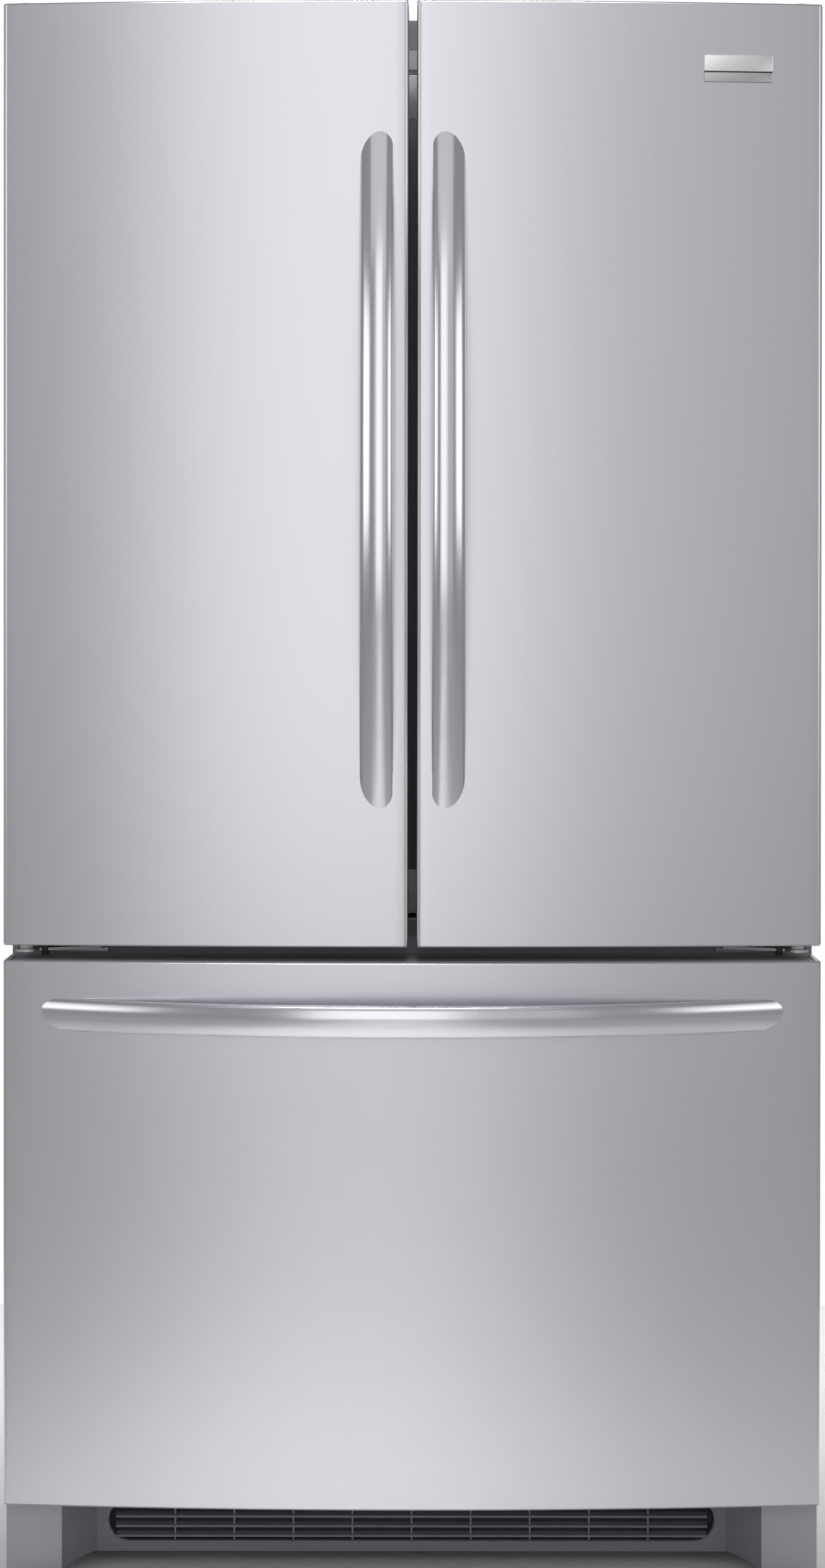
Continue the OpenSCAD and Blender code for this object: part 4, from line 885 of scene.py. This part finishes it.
dress(white_sheet, "freezer_liner", "evaporator_cover")
coil_aluminium = surface("coil_aluminium", (0.75, 0.76, 0.77), 0.35, 0.9, (80, 80, 80), tint=0.03)
dress(coil_aluminium, "evaporator_coil")
fan_plastic = surface("fan_plastic", (0.16, 0.165, 0.17), 0.45, grain=(200, 200, 200), tint=0.05)
low, high = (np.array(c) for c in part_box("evaporator_fan"))
piece("freezer_fan", blades((low + high) / 2, "y", 0.014, 0.0455, 0.0155), fan_plastic, "evaporator_fan",
      "evaporator_fan")
low, high = (np.array(c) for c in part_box("condenser_fan"))
piece("cooling_fan", blades((low + high) / 2, "x", 0.018, 0.0695, 0.0175), fan_plastic, "condenser_fan",
      "condenser_fan")
low, high = (np.array(c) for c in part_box("evaporator_cover"))
GRILLE_WIRE, GRILLE_RADIUS, FAN_Z = 0.0022, 0.052, 0.610
wire_front, wire_back = low[1] - 0.0024, low[1] - 0.0002
ring_section = [(0, wire_front), (0, wire_back), (GRILLE_WIRE, wire_back), (GRILLE_WIRE, wire_front)]
RING_RADII = (0.014, 0.024, 0.034, 0.044, 0.053)
grille = [framed(-r, r, FAN_Z - r, FAN_Z + r, r, ring_section, "y", 9) for r in RING_RADII]
for half_x, half_z in ((GRILLE_RADIUS, 0.001), (0.001, GRILLE_RADIUS)):
    grille.append(brick((-half_x, low[1] - 0.0022, FAN_Z - half_z), (half_x, low[1] - 0.0004, FAN_Z + half_z)))
piece("freezer_fan_grille", joined(*grille), white_sheet, "cabinet")
low, high = (np.array(c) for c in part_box("ice_maker"))
ice = cup(low[0], high[0], low[2], high[2], high[1], low[1], 0.0075, 0.010, "y", edge=0.004)
piece("ice_bin", ice, white_sheet, "cabinet", "ice_maker")


# Freezer baskets and slides: a deep basket of white coated wire on the drawer front, a shallow moulded one
# above it on runners, and steel slides in three parts with rolled edges.
def wire(points, radius, ref, sides=6):
    """A round wire along a flat path; ref is the direction square to the path's plane."""
    points = np.asarray(points, float)
    along = np.gradient(points, axis=0)
    along /= np.linalg.norm(along, axis=1)[:, None]
    ref = np.asarray(ref, float)
    other = np.cross(along, ref)
    turn = np.linspace(0, 2 * np.pi, sides, endpoint=False)
    way = np.cos(turn)[None, :, None] * ref + np.sin(turn)[None, :, None] * other[:, None]
    return loft(points[:, None] + radius * way)


coated_wire = surface("coated_wire", (0.84, 0.85, 0.85), 0.32, grain=(150, 150, 150), tint=0.01)
low, high = (np.array(c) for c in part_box("lower_basket"))
WIRE, BEND, MARGIN = 0.0018, 0.014, 0.002
left, front, floor_z = low + MARGIN
right, back = high[:2] - MARGIN
rim_z = high[2] - 2 * MARGIN


def hoop(a0, a1, z0, z1, place, other):
    """A wire down one side, across the floor and up the other, with rounded bends."""
    turn = np.linspace(0, np.pi / 2, 4)
    bend_down = [(a0 + BEND - BEND * np.cos(t), z0 + BEND - BEND * np.sin(t)) for t in turn]
    bend_up = [(a1 - BEND + BEND * np.sin(t), z0 + BEND - BEND * np.cos(t)) for t in turn]
    flat = [(a0, z1)] + bend_down + bend_up + [(a1, z1)]
    if other == "y":
        return wire([(a, place, z) for a, z in flat], WIRE, (0, 1, 0))
    return wire([(place, a, z) for a, z in flat], WIRE, (1, 0, 0))


END_GAP, RIM_WIRE = 0.02, 0.0028
basket = [hoop(left, right, floor_z, rim_z, y, "y") for y in np.linspace(front + END_GAP, back - END_GAP, 15)]
basket += [hoop(front, back, floor_z, rim_z, x, "x") for x in np.linspace(left + END_GAP, right - END_GAP, 23)]
rim_turn = np.linspace(0, 2 * np.pi, 8, endpoint=False)
RIM_ROUND = [(RIM_WIRE * np.sin(t), RIM_WIRE * np.cos(t)) for t in rim_turn]
for share in (1.0, 0.45, 0.72):
    z = floor_z + (rim_z - floor_z) * share
    basket.append(framed(left, right, front, back, 0.016, [(i, z + d) for i, d in RIM_ROUND]))
piece("wire_basket", joined(*basket), coated_wire, "drawer", "lower_basket", sharp=70)
low, high = (np.array(c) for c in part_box("upper_basket"))
RUNNER_X, RUNNER_HALF, WEB_X, WEB_HALF, TRAY_FLOOR = 0.354, 0.009, 0.3455, 0.0015, 0.472
shallow = [cup(low[0] + 0.019, high[0] - 0.019, low[1], high[1], TRAY_FLOOR, high[2], 0.003, 0.020, lean=0.005,
               edge=0.006)]
for side in (-1, 1):
    shallow.append(pillow((side * RUNNER_X - RUNNER_HALF, low[1] + 0.010, low[2] + 0.0003),
                          (side * RUNNER_X + RUNNER_HALF, high[1] - 0.010, low[2] + 0.0030), 0.002, 0.0006))
    shallow.append(brick((side * WEB_X - WEB_HALF, low[1] + 0.012, low[2] + 0.0005),
                         (side * WEB_X + WEB_HALF, high[1] - 0.012, TRAY_FLOOR + 0.010)))
piece("shallow_basket", joined(*shallow), white_sheet, "upper_basket", "upper_basket")


def channel(inner, outer, low, high, y0, y1):
    """A rolled steel channel along Y whose open side faces inner, with a lip turned in along each edge."""
    thick, lip = 0.0015, 0.004
    web = outer + np.sign(inner - outer) * thick
    lip_back = inner - np.sign(inner - outer) * thick
    outline = [(outer, low), (inner, low), (inner, low + lip), (lip_back, low + lip), (lip_back, low + thick),
               (web, low + thick), (web, high - thick), (lip_back, high - thick), (lip_back, high - lip),
               (inner, high - lip), (inner, high), (outer, high)]
    return extruded(outline, "y", y0, y1)


for name, node, body, inner, outer in (("fixed_slides", "slide_rails", "cabinet", 0.3935, 0.4038),
                                       ("middle_slides", "slide_middles", "slides", 0.3835, 0.3918)):
    low, high = (np.array(c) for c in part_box(node))
    member = channel(inner, outer, low[2], high[2], low[1], high[1])
    piece(name, joined(member, mirrored(member)), galvanised, body, node, bevel=0.0003)
dress(galvanised, "drawer_brackets")

# Machine compartment and foam: a black painted compressor, a black pipe condenser with fins, and the cream foam
# that fills the walls and doors. These show only through the slots or not at all.
dress(black_paint, "compressor", "condenser_coil")
cream_foam = surface("cream_foam", (0.80, 0.74, 0.52), 0.85, grain=(200, 200, 200), tint=0.06, bump=0.4)
dress(cream_foam, "cabinet_foam", "left_foam", "right_foam", "drawer_foam")
